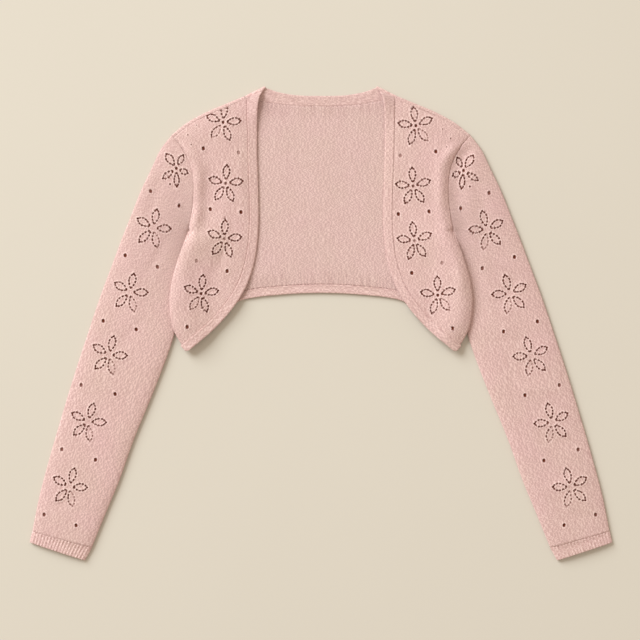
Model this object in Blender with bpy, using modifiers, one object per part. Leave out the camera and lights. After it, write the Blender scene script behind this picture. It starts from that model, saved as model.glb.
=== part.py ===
"""Knitted shrug, laid flat and face up with its sleeves spread. Metres, +Z up.

The origin lies on the surface that the shrug rests on, under the middle of its outline.
+Y points from the cuffs to the neck, and the shrug is the same on both sides of X = 0.

Every piece is a wall of knitted cloth about a middle surface. The back lies lowest, and
wraps over the shoulder and side folds by a narrow lip. The fronts lie on it and meet its
lips. Each sleeve is a flattened tube that starts at the armhole, and its inner fold runs
under the side of the body. Bands edge the neck, the fronts and the hem, and a ribbed cuff
ends each sleeve. Outline tables give the half at +X in millimetres.
"""
import math
from collections import namedtuple

import bmesh
import bpy

MM = 0.001

# cloth
WALL = 1.8 * MM
BAND_WALL = 2.2 * MM
SEAM = 0.3 * MM
BAND_GAP = 0.4 * MM
FOLD_AIR = 0.6 * MM
FOLD_RADIUS = (WALL + FOLD_AIR) / 2
FOLD_REACH = FOLD_RADIUS + WALL / 2
FOLD_STEPS = 4

# widths of what edges the panels
FRONT_BAND = 12 * MM
HEM_BAND = 11.5 * MM
SHOULDER_LIP = 5.4 * MM
SIDE_LIP = 4.2 * MM
MIRROR_MERGE = 0.05 * MM

# shares of an edge's length
END_TRIM = 0.004
UNDERARM_TRIM = 0.02
HEM_SHARE = 0.975
FRONT_END = 0.982
DIRECTION_STEP = 0.002
SIDE_LIP_FULL = 0.2
PUFF_FULL = 0.12
SETTLE_FROM = 0.7
SLEEVE_CREST_FULL = 0.3

# how fast an end's own line gives way down a piece
BAND_TOP_FADE = 10
SHOULDER_FADE = 6
BOW_FADE = 6
CREST_POWER = 1.5

# how the layers lie
SLEEVE_CREST = 2.4 * MM
ARMHOLE_CREST = 1.2 * MM
OPENING_PUFF = 2.4 * MM
FRONT_PUFF = 0.9 * MM
EDGE_ROLL = 0.5 * MM
BODY_LIFT = 5.7 * MM
LIFT_LEVEL = 19 * MM
LIFT_RAMP = 26 * MM
LIFT_FULL_Y = 107 * MM
TIP_DROP_FROM_Y = 4 * MM
TIP_DROP_LENGTH = 44 * MM
TIP_DROP = 0.55
TIP_SETTLE = 0.45

# faces
ARMHOLE_STEPS = 9
BODY_ROWS = 2 * ARMHOLE_STEPS
NECK_COLUMNS = 6
SHOULDER_COLUMNS = 8
BACK_COLUMNS = NECK_COLUMNS + SHOULDER_COLUMNS
BAND_COLUMNS = 2
SLEEVE_ROWS = 16
CUFF_ROWS = 1
RING = 2 * (ARMHOLE_STEPS + FOLD_STEPS)

Place = namedtuple("Place", "x y")
SleeveRow = namedtuple("SleeveRow", "outer_x outer_y inner_x inner_y")

NECK_EDGE = [Place(0, 307.8), Place(19, 307.9), Place(38, 309.2), Place(57, 313), Place(76, 318.6)]
NECK_SEAM = [Place(0, 293.8), Place(26, 294.1), Place(52, 296.2), Place(77, 301.2), Place(102.6, 307.4)]
SHOULDER = [Place(102.6, 307.4), Place(128.3, 296.8), Place(154.6, 285.6), Place(180.2, 271.5),
            Place(201.8, 254.5)]
ARMHOLE = [Place(201.8, 254.5), Place(187.7, 237.6), Place(175.8, 215), Place(171.6, 191),
           Place(172, 167), Place(174.5, 147), Place(178, 128)]
SIDE = [Place(178, 128), Place(185, 108), Place(192.5, 87), Place(199.5, 63), Place(203.6, 38),
        Place(202.6, 12), Place(197.8, -9), Place(188.6, -26.8)]
HEM_EDGE = [Place(0, 42), Place(30, 41.2), Place(60, 39), Place(88, 36), Place(112, 30),
            Place(131, 14.5), Place(148, -5), Place(164.5, -22), Place(180.8, -36.4)]

# a row for every sixth of the armhole, then for every sixth of the side
OPENING = [Place(78.5, 311.2), Place(83.6, 286), Place(85.3, 256), Place(85.2, 226), Place(84.4, 196),
           Place(83.8, 168), Place(83.6, 139), Place(85.7, 108), Place(91.3, 77), Place(102, 48),
           Place(120, 19.5), Place(146.5, -9.5), Place(181, -38.6)]
BAND_TOP_SEAM = Place(100, 302.4)
NECK_FOLD = (0.9216, -0.388)

SLEEVE = [
    SleeveRow(201.8, 254.5, 178.3, 128.1),
    SleeveRow(217.4, 234.9, 184.2, 119.5),
    SleeveRow(231, 208, 187.4, 107.5),
    SleeveRow(244.5, 181, 188.8, 93),
    SleeveRow(258, 150, 189, 76),
    SleeveRow(272, 114, 188.8, 56),
    SleeveRow(285.5, 77, 189.8, 34),
    SleeveRow(298.5, 38, 193.3, 6),
    SleeveRow(314, -12, 207.5, -41),
    SleeveRow(331, -67, 231, -100),
    SleeveRow(347.9, -123, 254.3, -155),
    SleeveRow(364.5, -180, 274.5, -211),
    SleeveRow(378, -230, 293.5, -257),
    SleeveRow(388.8, -279.5, 310.8, -301.3),
]
CUFF_END = SleeveRow(392.2, -294.3, 320.2, -318.6)

DUSTY_PINK = (0.72, 0.50, 0.46, 1)
KNIT_ROUGHNESS = 0.92


# curves and blends

def between(a, b, t):
    return a + (b - a) * t


def mix(a, b, t):
    return (between(a[0], b[0], t), between(a[1], b[1], t))


def ease(t):
    """0 to 1 with a soft start and end, for any t."""
    t = min(max(t, 0), 1)
    return t * t * (3 - 2 * t)


def smooth(rows, column, at):
    """A column's value in metres at a fraction of the table, on a curve through its rows."""
    values = [getattr(row, column) * MM for row in rows]
    place = at * (len(rows) - 1)
    i = min(max(int(place), 0), len(rows) - 2)
    t = place - i
    here, there = values[i], values[i + 1]
    before = values[i - 1] if i > 0 else 2 * here - there
    after = values[i + 2] if i + 2 < len(rows) else 2 * there - here
    slope_here, slope_there = (there - before) / 2, (after - here) / 2
    return (here * (2 * t ** 3 - 3 * t ** 2 + 1) + slope_here * (t ** 3 - 2 * t ** 2 + t)
            + there * (3 * t ** 2 - 2 * t ** 3) + slope_there * (t ** 3 - t ** 2))


def along(table, at):
    return (smooth(table, "x", at), smooth(table, "y", at))


def direction(curve, at):
    """The unit direction in which a curve runs, in plan."""
    low, high = curve(max(at - DIRECTION_STEP, 0)), curve(min(at + DIRECTION_STEP, 1))
    dx, dy = high[0] - low[0], high[1] - low[1]
    length = math.hypot(dx, dy)
    return (dx / length, dy / length)


def beside(curve, at, distance):
    """A point off a curve, to the left of the way it runs."""
    x, y = curve(at)
    dx, dy = direction(curve, at)
    return (x - dy * distance, y + dx * distance)


def shoulder(at):
    return along(SHOULDER, at)


def armhole(at):
    return along(ARMHOLE, at)


def side(at):
    return along(SIDE, at)


def opening(at):
    return along(OPENING, at)


def hem_edge(at):
    return along(HEM_EDGE, at)


# heights of the middle surfaces

def side_x(y):
    """How far out the side fold is, level with y."""
    for upper, lower in zip(SIDE, SIDE[1:]):
        if y >= lower.y * MM:
            t = (upper.y * MM - y) / ((upper.y - lower.y) * MM)
            return between(upper.x, lower.x, max(t, 0)) * MM
    return SIDE[-1].x * MM


def lift(x, y):
    """How far the body is raised where it lies on the sleeve's inner fold."""
    top = SIDE[0].y * MM
    down = ease((top - y) / (top - LIFT_FULL_Y))
    down *= 1 - TIP_DROP * ease((TIP_DROP_FROM_Y - y) / TIP_DROP_LENGTH)
    inside = side_x(y) - abs(x)
    return BODY_LIFT * down * ease(1 - (inside - LIFT_LEVEL) / LIFT_RAMP)


def lower_layer(point):
    x, y = point
    return (x, y, WALL / 2 + lift(x, y))


def upper_layer(point, puff=0):
    x, y, z = lower_layer(point)
    return (x, y, z + 2 * FOLD_RADIUS + puff)


def armhole_puff(at):
    return ARMHOLE_CREST * max(4 * at * (1 - at), 0) ** CREST_POWER


def front_puff(across, down):
    """The front's height over its folds: across is 0 at the band's seam and 1 at the edge."""
    settled = TIP_SETTLE * ease((down - SETTLE_FROM) / (1 - SETTLE_FROM))
    at_band = OPENING_PUFF * ease(down / PUFF_FULL) * (1 - settled)
    at_edge = armhole_puff(min(down * 2, 1))
    crown = FRONT_PUFF * math.sin(math.pi * across) * math.sin(math.pi * down)
    return between(at_band, at_edge, across ** CREST_POWER) + crown


def fold(point, outward, reach_back):
    """Middle points that turn from the lower layer over to the upper layer, then a lip.

    point is where the lower layer starts to turn, outward the way the fold faces."""
    x, y, z = lower_layer(point)
    turned = []
    for step in range(1, FOLD_STEPS + 1):
        angle = math.pi * step / FOLD_STEPS
        out = FOLD_RADIUS * math.sin(angle)
        turned.append((x + outward[0] * out, y + outward[1] * out,
                       z + FOLD_RADIUS * (1 - math.cos(angle))))
    lip = (x - outward[0] * reach_back, y - outward[1] * reach_back)
    turned.append(upper_layer(lip))
    return turned


# making a piece

def knit_material(name, shade):
    material = bpy.data.materials.new(name)
    material.use_nodes = True
    shader = material.node_tree.nodes["Principled BSDF"]
    colour = [channel * shade for channel in DUSTY_PINK[:3]]
    shader.inputs["Base Color"].default_value = (*colour, 1)
    shader.inputs["Roughness"].default_value = KNIT_ROUGHNESS
    shader.inputs["Metallic"].default_value = 0
    return material


def cloth_piece(collection, name, points, wall=WALL, shade=1.0, ring=0, mirrored=False):
    """A wall of cloth about the middle surface that points holds by (column, row).

    ring is the number of columns when the surface closes on itself as a tube."""
    cage = bmesh.new()
    corners = {}
    for key, (x, y, z) in points.items():
        corners[key] = cage.verts.new((0 if mirrored and x < MIRROR_MERGE else x, y, z))
    for column, row in points:
        beyond = (column + 1) % ring if ring else column + 1
        keys = [(column, row), (beyond, row), (beyond, row + 1), (column, row + 1)]
        if all(key in corners for key in keys):
            cage.faces.new([corners[key] for key in keys])
    bmesh.ops.recalc_face_normals(cage, faces=cage.faces)
    mesh = bpy.data.meshes.new(name)
    cage.to_mesh(mesh)
    cage.free()
    mesh.shade_smooth()
    mesh.materials.append(knit_material(name, shade))
    piece = bpy.data.objects.new(name, mesh)
    collection.objects.link(piece)
    if mirrored:
        mirror = piece.modifiers.new("Other half", "MIRROR")
        mirror.merge_threshold = MIRROR_MERGE
    thickness = piece.modifiers.new("Cloth", "SOLIDIFY")
    thickness.thickness = wall
    thickness.offset = 0
    return piece


def flipped(points, hand):
    """The same points for the piece at +X, hand 1, or at -X, hand -1."""
    return {key: (x * hand, y, z) for key, (x, y, z) in points.items()}


# the back and its bands

def shoulder_at(column):
    """The place down the shoulder of a column of the back or the front, clear of its ends."""
    return between(END_TRIM, 1 - END_TRIM, column / SHOULDER_COLUMNS)


def side_at(row):
    """The place down the side of a row of the back or the front, clear of the underarm."""
    return between(UNDERARM_TRIM, 1, row / ARMHOLE_STEPS - 1)


def side_lip(at):
    """How far the back laps over the side fold, from just its turn at the underarm."""
    return between(FOLD_REACH + SEAM, SIDE_LIP, ease(at / SIDE_LIP_FULL))


def neck_seam(at):
    """The seam of the neck band, drawn in to where the band turns over the shoulder."""
    x, y = along(NECK_SEAM, at)
    dx, dy = NECK_FOLD
    shrink = FOLD_REACH * ease(at * 2 - 1)
    return (x + dy * shrink, y - dx * shrink)


def neck_edge(at):
    x, y = along(NECK_EDGE, at)
    dx, dy = NECK_FOLD
    shrink = FOLD_REACH * ease(at * 2 - 1)
    return (x + dy * shrink, y - dx * shrink)


def back_top(column):
    """The back's top edge: the neck seam, then the start of the shoulder's fold."""
    if column < NECK_COLUMNS:
        x, y = neck_seam(column / NECK_COLUMNS)
        return (x, y - SEAM)
    return beside(shoulder, shoulder_at(column - NECK_COLUMNS), -FOLD_REACH)


def back_edge(row):
    """The back's outer edge: the armhole, then the start of the side's fold."""
    if row == 0:
        return back_top(BACK_COLUMNS)
    if row < ARMHOLE_STEPS:
        return beside(armhole, row / ARMHOLE_STEPS, -SEAM / 2)
    return beside(side, side_at(row), -FOLD_REACH)


def hem_at(column):
    """The place along the hem under a column of the back."""
    return HEM_SHARE * column / BACK_COLUMNS


def above_hem(at, height):
    """A point above the hem's edge, on the middle line of the back where at is 0."""
    x, y = beside(hem_edge, at, height)
    return (x if at > 0 else 0, y)


def back_hem(column):
    if column == BACK_COLUMNS:
        return back_edge(BODY_ROWS)
    return above_hem(hem_at(column), HEM_BAND + SEAM)


def back_point(column, row):
    """A point of the sheet that fills the back's four edges."""
    across, down = column / BACK_COLUMNS, row / BODY_ROWS
    level = mix(mix(back_top(0), back_hem(0), down), back_edge(row), across)
    top = back_top(column)
    top_level = mix(back_top(0), back_edge(0), across)
    hem = back_hem(column)
    hem_level = mix(back_hem(0), back_edge(BODY_ROWS), across)
    return tuple(level[axis] + (top[axis] - top_level[axis]) * (1 - down) ** 2
                 + (hem[axis] - hem_level[axis]) * down ** 2 for axis in (0, 1))


def back_points():
    points = {(column, row): lower_layer(back_point(column, row))
              for column in range(BACK_COLUMNS + 1) for row in range(BODY_ROWS + 1)}
    for column in range(NECK_COLUMNS, BACK_COLUMNS + 1):
        dx, dy = direction(shoulder, shoulder_at(column - NECK_COLUMNS))
        lip = SHOULDER_LIP - FOLD_REACH
        for step, place in enumerate(fold(back_point(column, 0), (-dy, dx), lip)):
            points[column, -1 - step] = place
    for row in range(ARMHOLE_STEPS, BODY_ROWS + 1):
        at = side_at(row)
        dx, dy = direction(side, at)
        lip = side_lip(at) - FOLD_REACH
        for step, place in enumerate(fold(back_point(BACK_COLUMNS, row), (-dy, dx), lip)):
            points[BACK_COLUMNS + 1 + step, row] = place
    return points


def neck_band_points():
    points = {}
    for column in range(BAND_COLUMNS + 1):
        across = column / BAND_COLUMNS
        for row in range(NECK_COLUMNS + 1):
            at = row / NECK_COLUMNS
            points[column, row] = lower_layer(mix(neck_edge(at), neck_seam(at), across))
        turned = fold(points[column, NECK_COLUMNS][:2], (-NECK_FOLD[1], NECK_FOLD[0]), 0)
        turned[-1] = upper_layer(band_top(across))
        for step, place in enumerate(turned):
            points[column, NECK_COLUMNS + 1 + step] = place
    return points


def hem_band_points():
    points = {}
    places = [hem_at(column) for column in range(BACK_COLUMNS + 1)] + [1]
    for row, at in enumerate(places):
        for column in range(BAND_COLUMNS + 1):
            x, y = above_hem(at, HEM_BAND * column / BAND_COLUMNS)
            points[column, row] = (x, y, BAND_WALL / 2 + lift(x, y))
    return points


# the fronts and their bands

def band_top(across, past=0):
    """The seam across the band, just in front of the shoulder fold."""
    x, y = mix(opening(0), (BAND_TOP_SEAM.x * MM, BAND_TOP_SEAM.y * MM), across)
    return (x + NECK_FOLD[1] * past, y - NECK_FOLD[0] * past)


def band_point(across, down, past=0):
    """A point of the front band in plan: across is 0 at the opening and 1 at the seam."""
    x, y = beside(opening, down, FRONT_BAND * across + past)
    square = beside(opening, 0, FRONT_BAND * across + past)
    slant = band_top(across, SEAM)
    fade = (1 - down) ** BAND_TOP_FADE
    return (x + (slant[0] + past - square[0]) * fade, y + (slant[1] - square[1]) * fade)


def front_edge(row):
    """The front's outer edge: the armhole, then the back's lip along the side."""
    if row == 0:
        return beside(shoulder, shoulder_at(SHOULDER_COLUMNS), -SHOULDER_LIP - SEAM)
    if row < ARMHOLE_STEPS:
        return beside(armhole, row / ARMHOLE_STEPS, -SEAM / 2)
    at = min(side_at(row), FRONT_END)
    return beside(side, at, -side_lip(at) - SEAM)


def front_point(column, row):
    across = column / SHOULDER_COLUMNS
    down = FRONT_END if row == BODY_ROWS else row / BODY_ROWS
    level = mix(band_point(1, down, BAND_GAP), front_edge(row), across)
    top = beside(shoulder, shoulder_at(column), -SHOULDER_LIP - SEAM)
    top_level = mix(band_point(1, 0, BAND_GAP), front_edge(0), across)
    fade = (1 - down) ** SHOULDER_FADE
    place = [level[axis] + (top[axis] - top_level[axis]) * fade for axis in (0, 1)]
    return upper_layer(place, front_puff(across, down))


def front_points():
    return {(column, row): front_point(column, row)
            for column in range(SHOULDER_COLUMNS + 1) for row in range(BODY_ROWS + 1)}


def front_band_points():
    points = {}
    for row in range(BODY_ROWS + 1):
        down = row / BODY_ROWS
        for column in range(BAND_COLUMNS + 1):
            across = column / BAND_COLUMNS
            roll = EDGE_ROLL * (1 - across) * ease(down / PUFF_FULL)
            puff = front_puff(0, down) + roll + (BAND_WALL - WALL) / 2
            points[column, row] = upper_layer(band_point(across, down), puff)
    return points


# the sleeves and cuffs

def sleeve_ends(down):
    return ((smooth(SLEEVE, "outer_x", down), smooth(SLEEVE, "outer_y", down)),
            (smooth(SLEEVE, "inner_x", down), smooth(SLEEVE, "inner_y", down)))


def sleeve_plan(across, down):
    """A point of the sleeve in plan: across is 0 at the outer fold and 1 at the inner."""
    first_outer, first_inner = sleeve_ends(0)
    arm = beside(armhole, across, SEAM / 2)
    chord = mix(first_outer, first_inner, across)
    bow = (1 - down) ** BOW_FADE
    x, y = mix(*sleeve_ends(down), across)
    return (x + (arm[0] - chord[0]) * bow, y + (arm[1] - chord[1]) * bow)


def cuff_plan(across, down):
    start = mix(*sleeve_ends(1), across)
    end = mix((CUFF_END.outer_x * MM, CUFF_END.outer_y * MM),
              (CUFF_END.inner_x * MM, CUFF_END.inner_y * MM), across)
    return mix(start, end, between(SEAM / math.dist(start, end), 1, down))


def sleeve_crest(across, down):
    growth = between(ARMHOLE_CREST, SLEEVE_CREST, ease(down / SLEEVE_CREST_FULL))
    return growth * max(4 * across * (1 - across), 0) ** CREST_POWER


def cuff_crest(across, down):
    return sleeve_crest(across, 1)


def tube_fold(plan, down, start, end, falling):
    """Middle points that turn round a fold of a tube, from the top down or back up."""
    centre, tip = plan(start, down), plan(end, down)
    length = math.dist(centre, tip)
    outward = ((tip[0] - centre[0]) / length, (tip[1] - centre[1]) / length)
    turned = []
    for step in range(1, FOLD_STEPS):
        angle = math.pi * step / FOLD_STEPS
        out = FOLD_RADIUS * math.sin(angle)
        rise = FOLD_RADIUS * (math.cos(angle) if falling else -math.cos(angle))
        turned.append((centre[0] + outward[0] * out, centre[1] + outward[1] * out,
                       WALL / 2 + FOLD_RADIUS + rise))
    return turned


def tube_ring(plan, crest, down):
    """Middle points round a flattened tube: its top, inner fold, underside, outer fold."""
    trim = FOLD_REACH / math.dist(plan(0, down), plan(1, down))
    steps = [column / ARMHOLE_STEPS for column in range(ARMHOLE_STEPS + 1)]
    steps[0], steps[-1] = trim, 1 - trim
    ring = [(*plan(across, down), WALL / 2 + 2 * FOLD_RADIUS + crest(across, down))
            for across in steps]
    ring += tube_fold(plan, down, 1 - trim, 1, falling=True)
    ring += [(*plan(across, down), WALL / 2) for across in reversed(steps)]
    ring += tube_fold(plan, down, trim, 0, falling=False)
    return ring


def tube_points(plan, crest, rows):
    points = {}
    for row in range(rows + 1):
        for column, place in enumerate(tube_ring(plan, crest, row / rows)):
            points[column, row] = place
    return points


def clear_scene():
    for item in list(bpy.data.objects):
        bpy.data.objects.remove(item, do_unlink=True)


def build():
    clear_scene()
    shrug = bpy.data.collections.new("knitted_shrug")
    bpy.context.scene.collection.children.link(shrug)
    cloth_piece(shrug, "back", back_points(), mirrored=True)
    cloth_piece(shrug, "neck_band", neck_band_points(), shade=1.04, mirrored=True)
    cloth_piece(shrug, "hem_band", hem_band_points(), BAND_WALL, 1.04, mirrored=True)
    for hand, name in ((-1, "left"), (1, "right")):
        front = flipped(front_points(), hand)
        cloth_piece(shrug, "front_" + name, front, shade=1.02)
        band = flipped(front_band_points(), hand)
        cloth_piece(shrug, "front_band_" + name, band, BAND_WALL, 1.04)
        sleeve = flipped(tube_points(sleeve_plan, sleeve_crest, SLEEVE_ROWS), hand)
        cloth_piece(shrug, "sleeve_" + name, sleeve, ring=RING)
        cuff = flipped(tube_points(cuff_plan, cuff_crest, CUFF_ROWS), hand)
        cloth_piece(shrug, "cuff_" + name, cuff, shade=1.04, ring=RING)


build()
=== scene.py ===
"""Knitted shrug laid flat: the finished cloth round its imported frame.

The file is laid out as an add-on and run as a script. Each operator knits one piece, or a
pair of like pieces, and one sets the stage. A piece is made of charts, which are nets of
points on the cloth's middle surface. The charts are joined, given two faces and rounded
edges, and tied to the frame. Points in plan are complex numbers, x + iy, in metres.
"""
import math
from collections import namedtuple
from functools import partial

import bpy
import numpy as np
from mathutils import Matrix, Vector, kdtree
from mathutils.geometry import delaunay_2d_cdt


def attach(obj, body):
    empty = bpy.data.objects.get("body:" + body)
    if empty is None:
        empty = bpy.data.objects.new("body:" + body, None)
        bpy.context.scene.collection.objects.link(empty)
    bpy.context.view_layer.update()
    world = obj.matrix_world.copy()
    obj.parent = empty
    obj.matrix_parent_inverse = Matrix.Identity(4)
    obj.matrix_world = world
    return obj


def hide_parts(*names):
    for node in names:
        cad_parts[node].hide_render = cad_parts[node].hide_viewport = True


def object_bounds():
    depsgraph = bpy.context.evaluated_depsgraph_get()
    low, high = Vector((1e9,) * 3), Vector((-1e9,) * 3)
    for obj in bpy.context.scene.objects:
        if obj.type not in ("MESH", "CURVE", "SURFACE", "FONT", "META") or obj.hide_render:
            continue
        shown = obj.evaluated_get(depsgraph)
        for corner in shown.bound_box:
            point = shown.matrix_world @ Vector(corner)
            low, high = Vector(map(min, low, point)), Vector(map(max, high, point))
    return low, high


bl_info = {
    "name": "Knitted shrug",
    "version": (1, 0, 0),
    "blender": (4, 5, 0),
    "location": "View3D > Sidebar > Shrug",
    "description": "Knits an open-front shrug with openwork flowers, laid flat",
    "category": "Object",
}

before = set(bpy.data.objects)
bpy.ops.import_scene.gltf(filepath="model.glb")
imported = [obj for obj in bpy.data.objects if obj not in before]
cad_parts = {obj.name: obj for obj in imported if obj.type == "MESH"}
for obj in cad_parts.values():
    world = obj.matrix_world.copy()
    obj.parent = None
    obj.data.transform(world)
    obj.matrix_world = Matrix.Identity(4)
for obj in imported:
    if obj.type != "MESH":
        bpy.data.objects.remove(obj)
CAD_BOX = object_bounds()

MM = 0.001
BODY = "root"

# the cloth's own sizes
WALL = 1.8 * MM
BAND_WALL = 2.2 * MM
SEAM = -0.24 * MM
BAND_GAP = -0.24 * MM
FOLD_RADIUS = 1.5 * MM
FOLD_REACH = FOLD_RADIUS + WALL / 2
FOLD_STEPS = 8
SEAM_ROUND = 0.15 * MM
EDGE_ROUND = 0.9 * MM
BAND_ROUND = 1.9 * MM
EDGE_SHARES = (0.1, 0.38, 1)
RELIEF_SHARE = 1.2
WELD = 1e-6
SEAM_FAR = 30 * MM

# widths of what edges the panels
FRONT_BAND = 12 * MM
HEM_BAND = 11.5 * MM
SHOULDER_LIP = 4.8 * MM
SIDE_LIP = 1.2 * MM
SIDE_LIP_TOP = FOLD_REACH + 0.3 * MM
SIDE_LIP_FROM = 0.1
SIDE_LIP_RAMP = 0.2

# shares of an edge's length, and of the back's half width
END_TRIM = 0.0015
UNDERARM_TRIM = 0.004
LIP_ON_ARMHOLE = 0.043
HEM_SHARE = 0.975
FRONT_END = 0.996
NECK_SHARE = 6 / 14
CORNER_SHARE = 13 / 14
ARMHOLE_START = 1 / 9

# the rounded end of each front band
TIP_ROUND = 4.5 * MM
TIP_FROM = 0.95

# how fast an end's own line gives way down a piece
BAND_TOP_FADE = 10
SHOULDER_FADE = 6
BOW_FADE = 6
SHOULDER_CORNER_FADE = 4

# how the layers lie
BODY_CREST = 3.2 * MM
BODY_SOFT = 11 * MM
SLEEVE_CREST = 3.1 * MM
OUTER_SOFT = 11 * MM
COVERED_SOFT = 26 * MM
COVERED_TO = 0.45
COVERED_RAMP = 0.2
INNER_SOFT = 7.5 * MM
SOFT_LIFT_TOP_Y = 172 * MM
OPENING_SOFT = 20 * MM
OPENING_PRESS = 1.2 * MM
BODY_LIFT = 6.6 * MM
LIFT_LEVEL = 15 * MM
LIFT_RAMP = 46 * MM
LIFT_FULL_Y = 101 * MM
TIP_DROP_FROM_Y = 4 * MM
TIP_DROP_LENGTH = 44 * MM
TIP_DROP = 0.55
EDGE_ROLL = 0.6 * MM
NECK_ROLL = 4.6 * MM
NECK_ROLL_Y = 298 * MM
NECK_ROLL_REACH = 24 * MM
HEM_ROLL = 1.4 * MM
HEM_ROLL_END = 0.35
EDGE_ROLL_TOP = 0.12
NECK_ROLL_TOP = 0.04
FRONT_CREASE_FADE = 0.12
SLEEVE_CREASE_FADE = 0.1
CUFF_DROP = 0.35
CUFF_DROP_LENGTH = 0.3
PRESS_FROM_Y = 20 * MM
PRESS_RAMP = 60 * MM
EDGE_DROP_LIMIT = 0.95 * FOLD_RADIUS
EDGE_DROP_RAMP = 10 * MM

# the ridges beside an armhole: where they start, turn down the side and end, and how uneven they are
ARM_RIDGE_START = 4 * MM
ARM_RIDGE_START_RAMP = 26 * MM
ARM_RIDGE_TURN = 14 * MM
ARM_RIDGE_TURN_RAMP = 34 * MM
ARM_RIDGE_END_Y = -20 * MM
ARM_RIDGE_END_RAMP = 60 * MM
ARM_RIDGE_UNEVEN = 0.2
ARM_RIDGE_WAVE = 9 * MM

# the ridge beside a band's seam
RIDGE_HEIGHT = 0.3 * MM
RIDGE_IN = 1.6 * MM
RIDGE_REACH = 0.9 * MM

# nets
PANEL_PITCH = 2.6 * MM
SLEEVE_PITCH = 2.8 * MM
PLAIN_PITCH = 3.4 * MM
FINE_PITCH = 1.35 * MM
BAND_PITCH = 0.9 * MM
LIP_PITCH = 1 * MM
CUFF_PITCH = 1.7 * MM
NEWTON_STEPS = 9
NEWTON_STRIDE = 0.1
FOUND_WITHIN = 0.05 * MM
CLEAR_OF_EDGE = 0.002
NO_AREA = 1e-12
RIM_STEPS = 9
MAP_HALF = 0.49
MAP_SECOND = 0.51
MAP_MARGIN = 0.003

# about how wide and how long the pieces are, for their nets and their stitches
BACK_HALF = 0.19
BACK_LENGTH = 0.27
FRONT_WIDTH = 0.1
FRONT_LENGTH = 0.325
FRONT_BAND_LENGTH = 0.4
NECK_HALF = 0.1
NECK_BAND = 14 * MM
HEM_HALF = 0.21
SLEEVE_WIDTH = 0.115
SLEEVE_LENGTH = 0.56
CUFF_LENGTH = 16 * MM

# the shares of a lip that are its turn round a fold, and about how long each lip is
SIDE_TURN = 0.62
SIDE_FLAP = 3.2 * MM
NECK_TURN = 0.55
NECK_FLAP = 2 * MM
NECK_FLAP_PITCH = 0.7 * MM
NECK_FLAP_CLOTH = 8 * MM

# openwork
FLOWER_REACH = 27 * MM
SLEEVE_FLOWER_SIZE = 1.03
PETAL_START = 4.9 * MM
DASH_PITCH = 4.4 * MM
DASH_SHARE = 0.82
DASH_WIDTH = 2.15 * MM
PIT_DEPTH = 1.25 * MM
LIP_HEIGHT = 0.65 * MM
EYELET_LENGTH = 5.4 * MM
EYELET_WIDTH = 4.2 * MM
EYELET_REACH = 5.5 * MM
MIDDLE_LENGTH = 4.2 * MM
MIDDLE_WIDTH = 3.6 * MM
TIP_LENGTH = 3 * MM
TIP_WIDTH = 2.5 * MM
SINK_RAMP = 0.5 * MM
DARK_RAMP = 0.45 * MM
LIP_OUT = 0.8 * MM
LIP_REACH = 0.7 * MM
SINK_AT = 0.05
DARK_AT = 0.75
DASH_NEAR = 5 * MM
DRAWN_GAP = 0.32 * MM
NET_CLEAR = 0.62 * FINE_PITCH
NET_GAP = 0.5 * FINE_PITCH
ROW_RISE = 0.87
FRONT_SEED = 20
SLEEVE_SEED = 40

# knit
WALE = 1.75 * MM
COURSE = 1.3 * MM
RIBS = 18
RIB_PITCH = 4.3 * MM
RIB_HEIGHT = 0.6 * MM
RIB_MIDDLE = 0.6
RIB_STEPS = 8
BAND_WALE = 1.9 * MM
BAND_COURSE = 1.5 * MM

# how coarse each kind of unevenness in the yarn is, for a metre
WOBBLE_SCALE = 90
PATCH_SCALE = 16
CLOUD_SCALE = 55
STREAK_SCALE = 26
THREAD_SCALE = 420
FUZZ_SCALE = 900
WOBBLE = 0.5 * MM

# how much darker the knit is painted in its gaps and its dimples, as painted shade, and how far a drawn
# line runs in millimetres
GAP_SHADE = 0.22
SPECK_SHADE = 0.3
DRAWN_SHADE = 0.1
DRAWN_LEAST = 3
DRAWN_MORE = 24
DRAWN_RAMP = 8

# the powers and factors that turn a shade into its red and into its green and blue
RED_POWER, RED_FACTOR = 0.85, 0.977
DEEP_POWER, DEEP_FACTOR = 1.15, 1.027

# the stage
LOOK_OFFSET = (-1.35 * MM, 5.4 * MM, 0)
FLOOR_SIZE = 8
FLOOR_BELOW = 0.2 * MM
KEY_PLACE = (-5.6, 5.7, 4.7)
KEY_SIZE = 5.5
KEY_TINT = (0.92, 0.965, 1)
SKY_TINT = (1, 0.865, 0.735, 1)

Place = namedtuple("Place", "x y")
SleeveRow = namedtuple("SleeveRow", "outer_x outer_y inner_x inner_y")
Flower = namedtuple("Flower", "x y turn middle faded kind")
Eyelet = namedtuple("Eyelet", "x y strength size")
Crease = namedtuple("Crease", "x y to_x to_y width height")
Petal = namedtuple("Petal", "turn reach width")
Shift = namedtuple("Shift", "out up tilt")
Ridge = namedtuple("Ridge", "inside width height")
Dash = namedtuple("Dash", "middle heading length width strength")
Ring = namedtuple("Ring", "out count")
Chart = namedtuple("Chart", "points cloth triangles hole relief reach")

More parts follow.
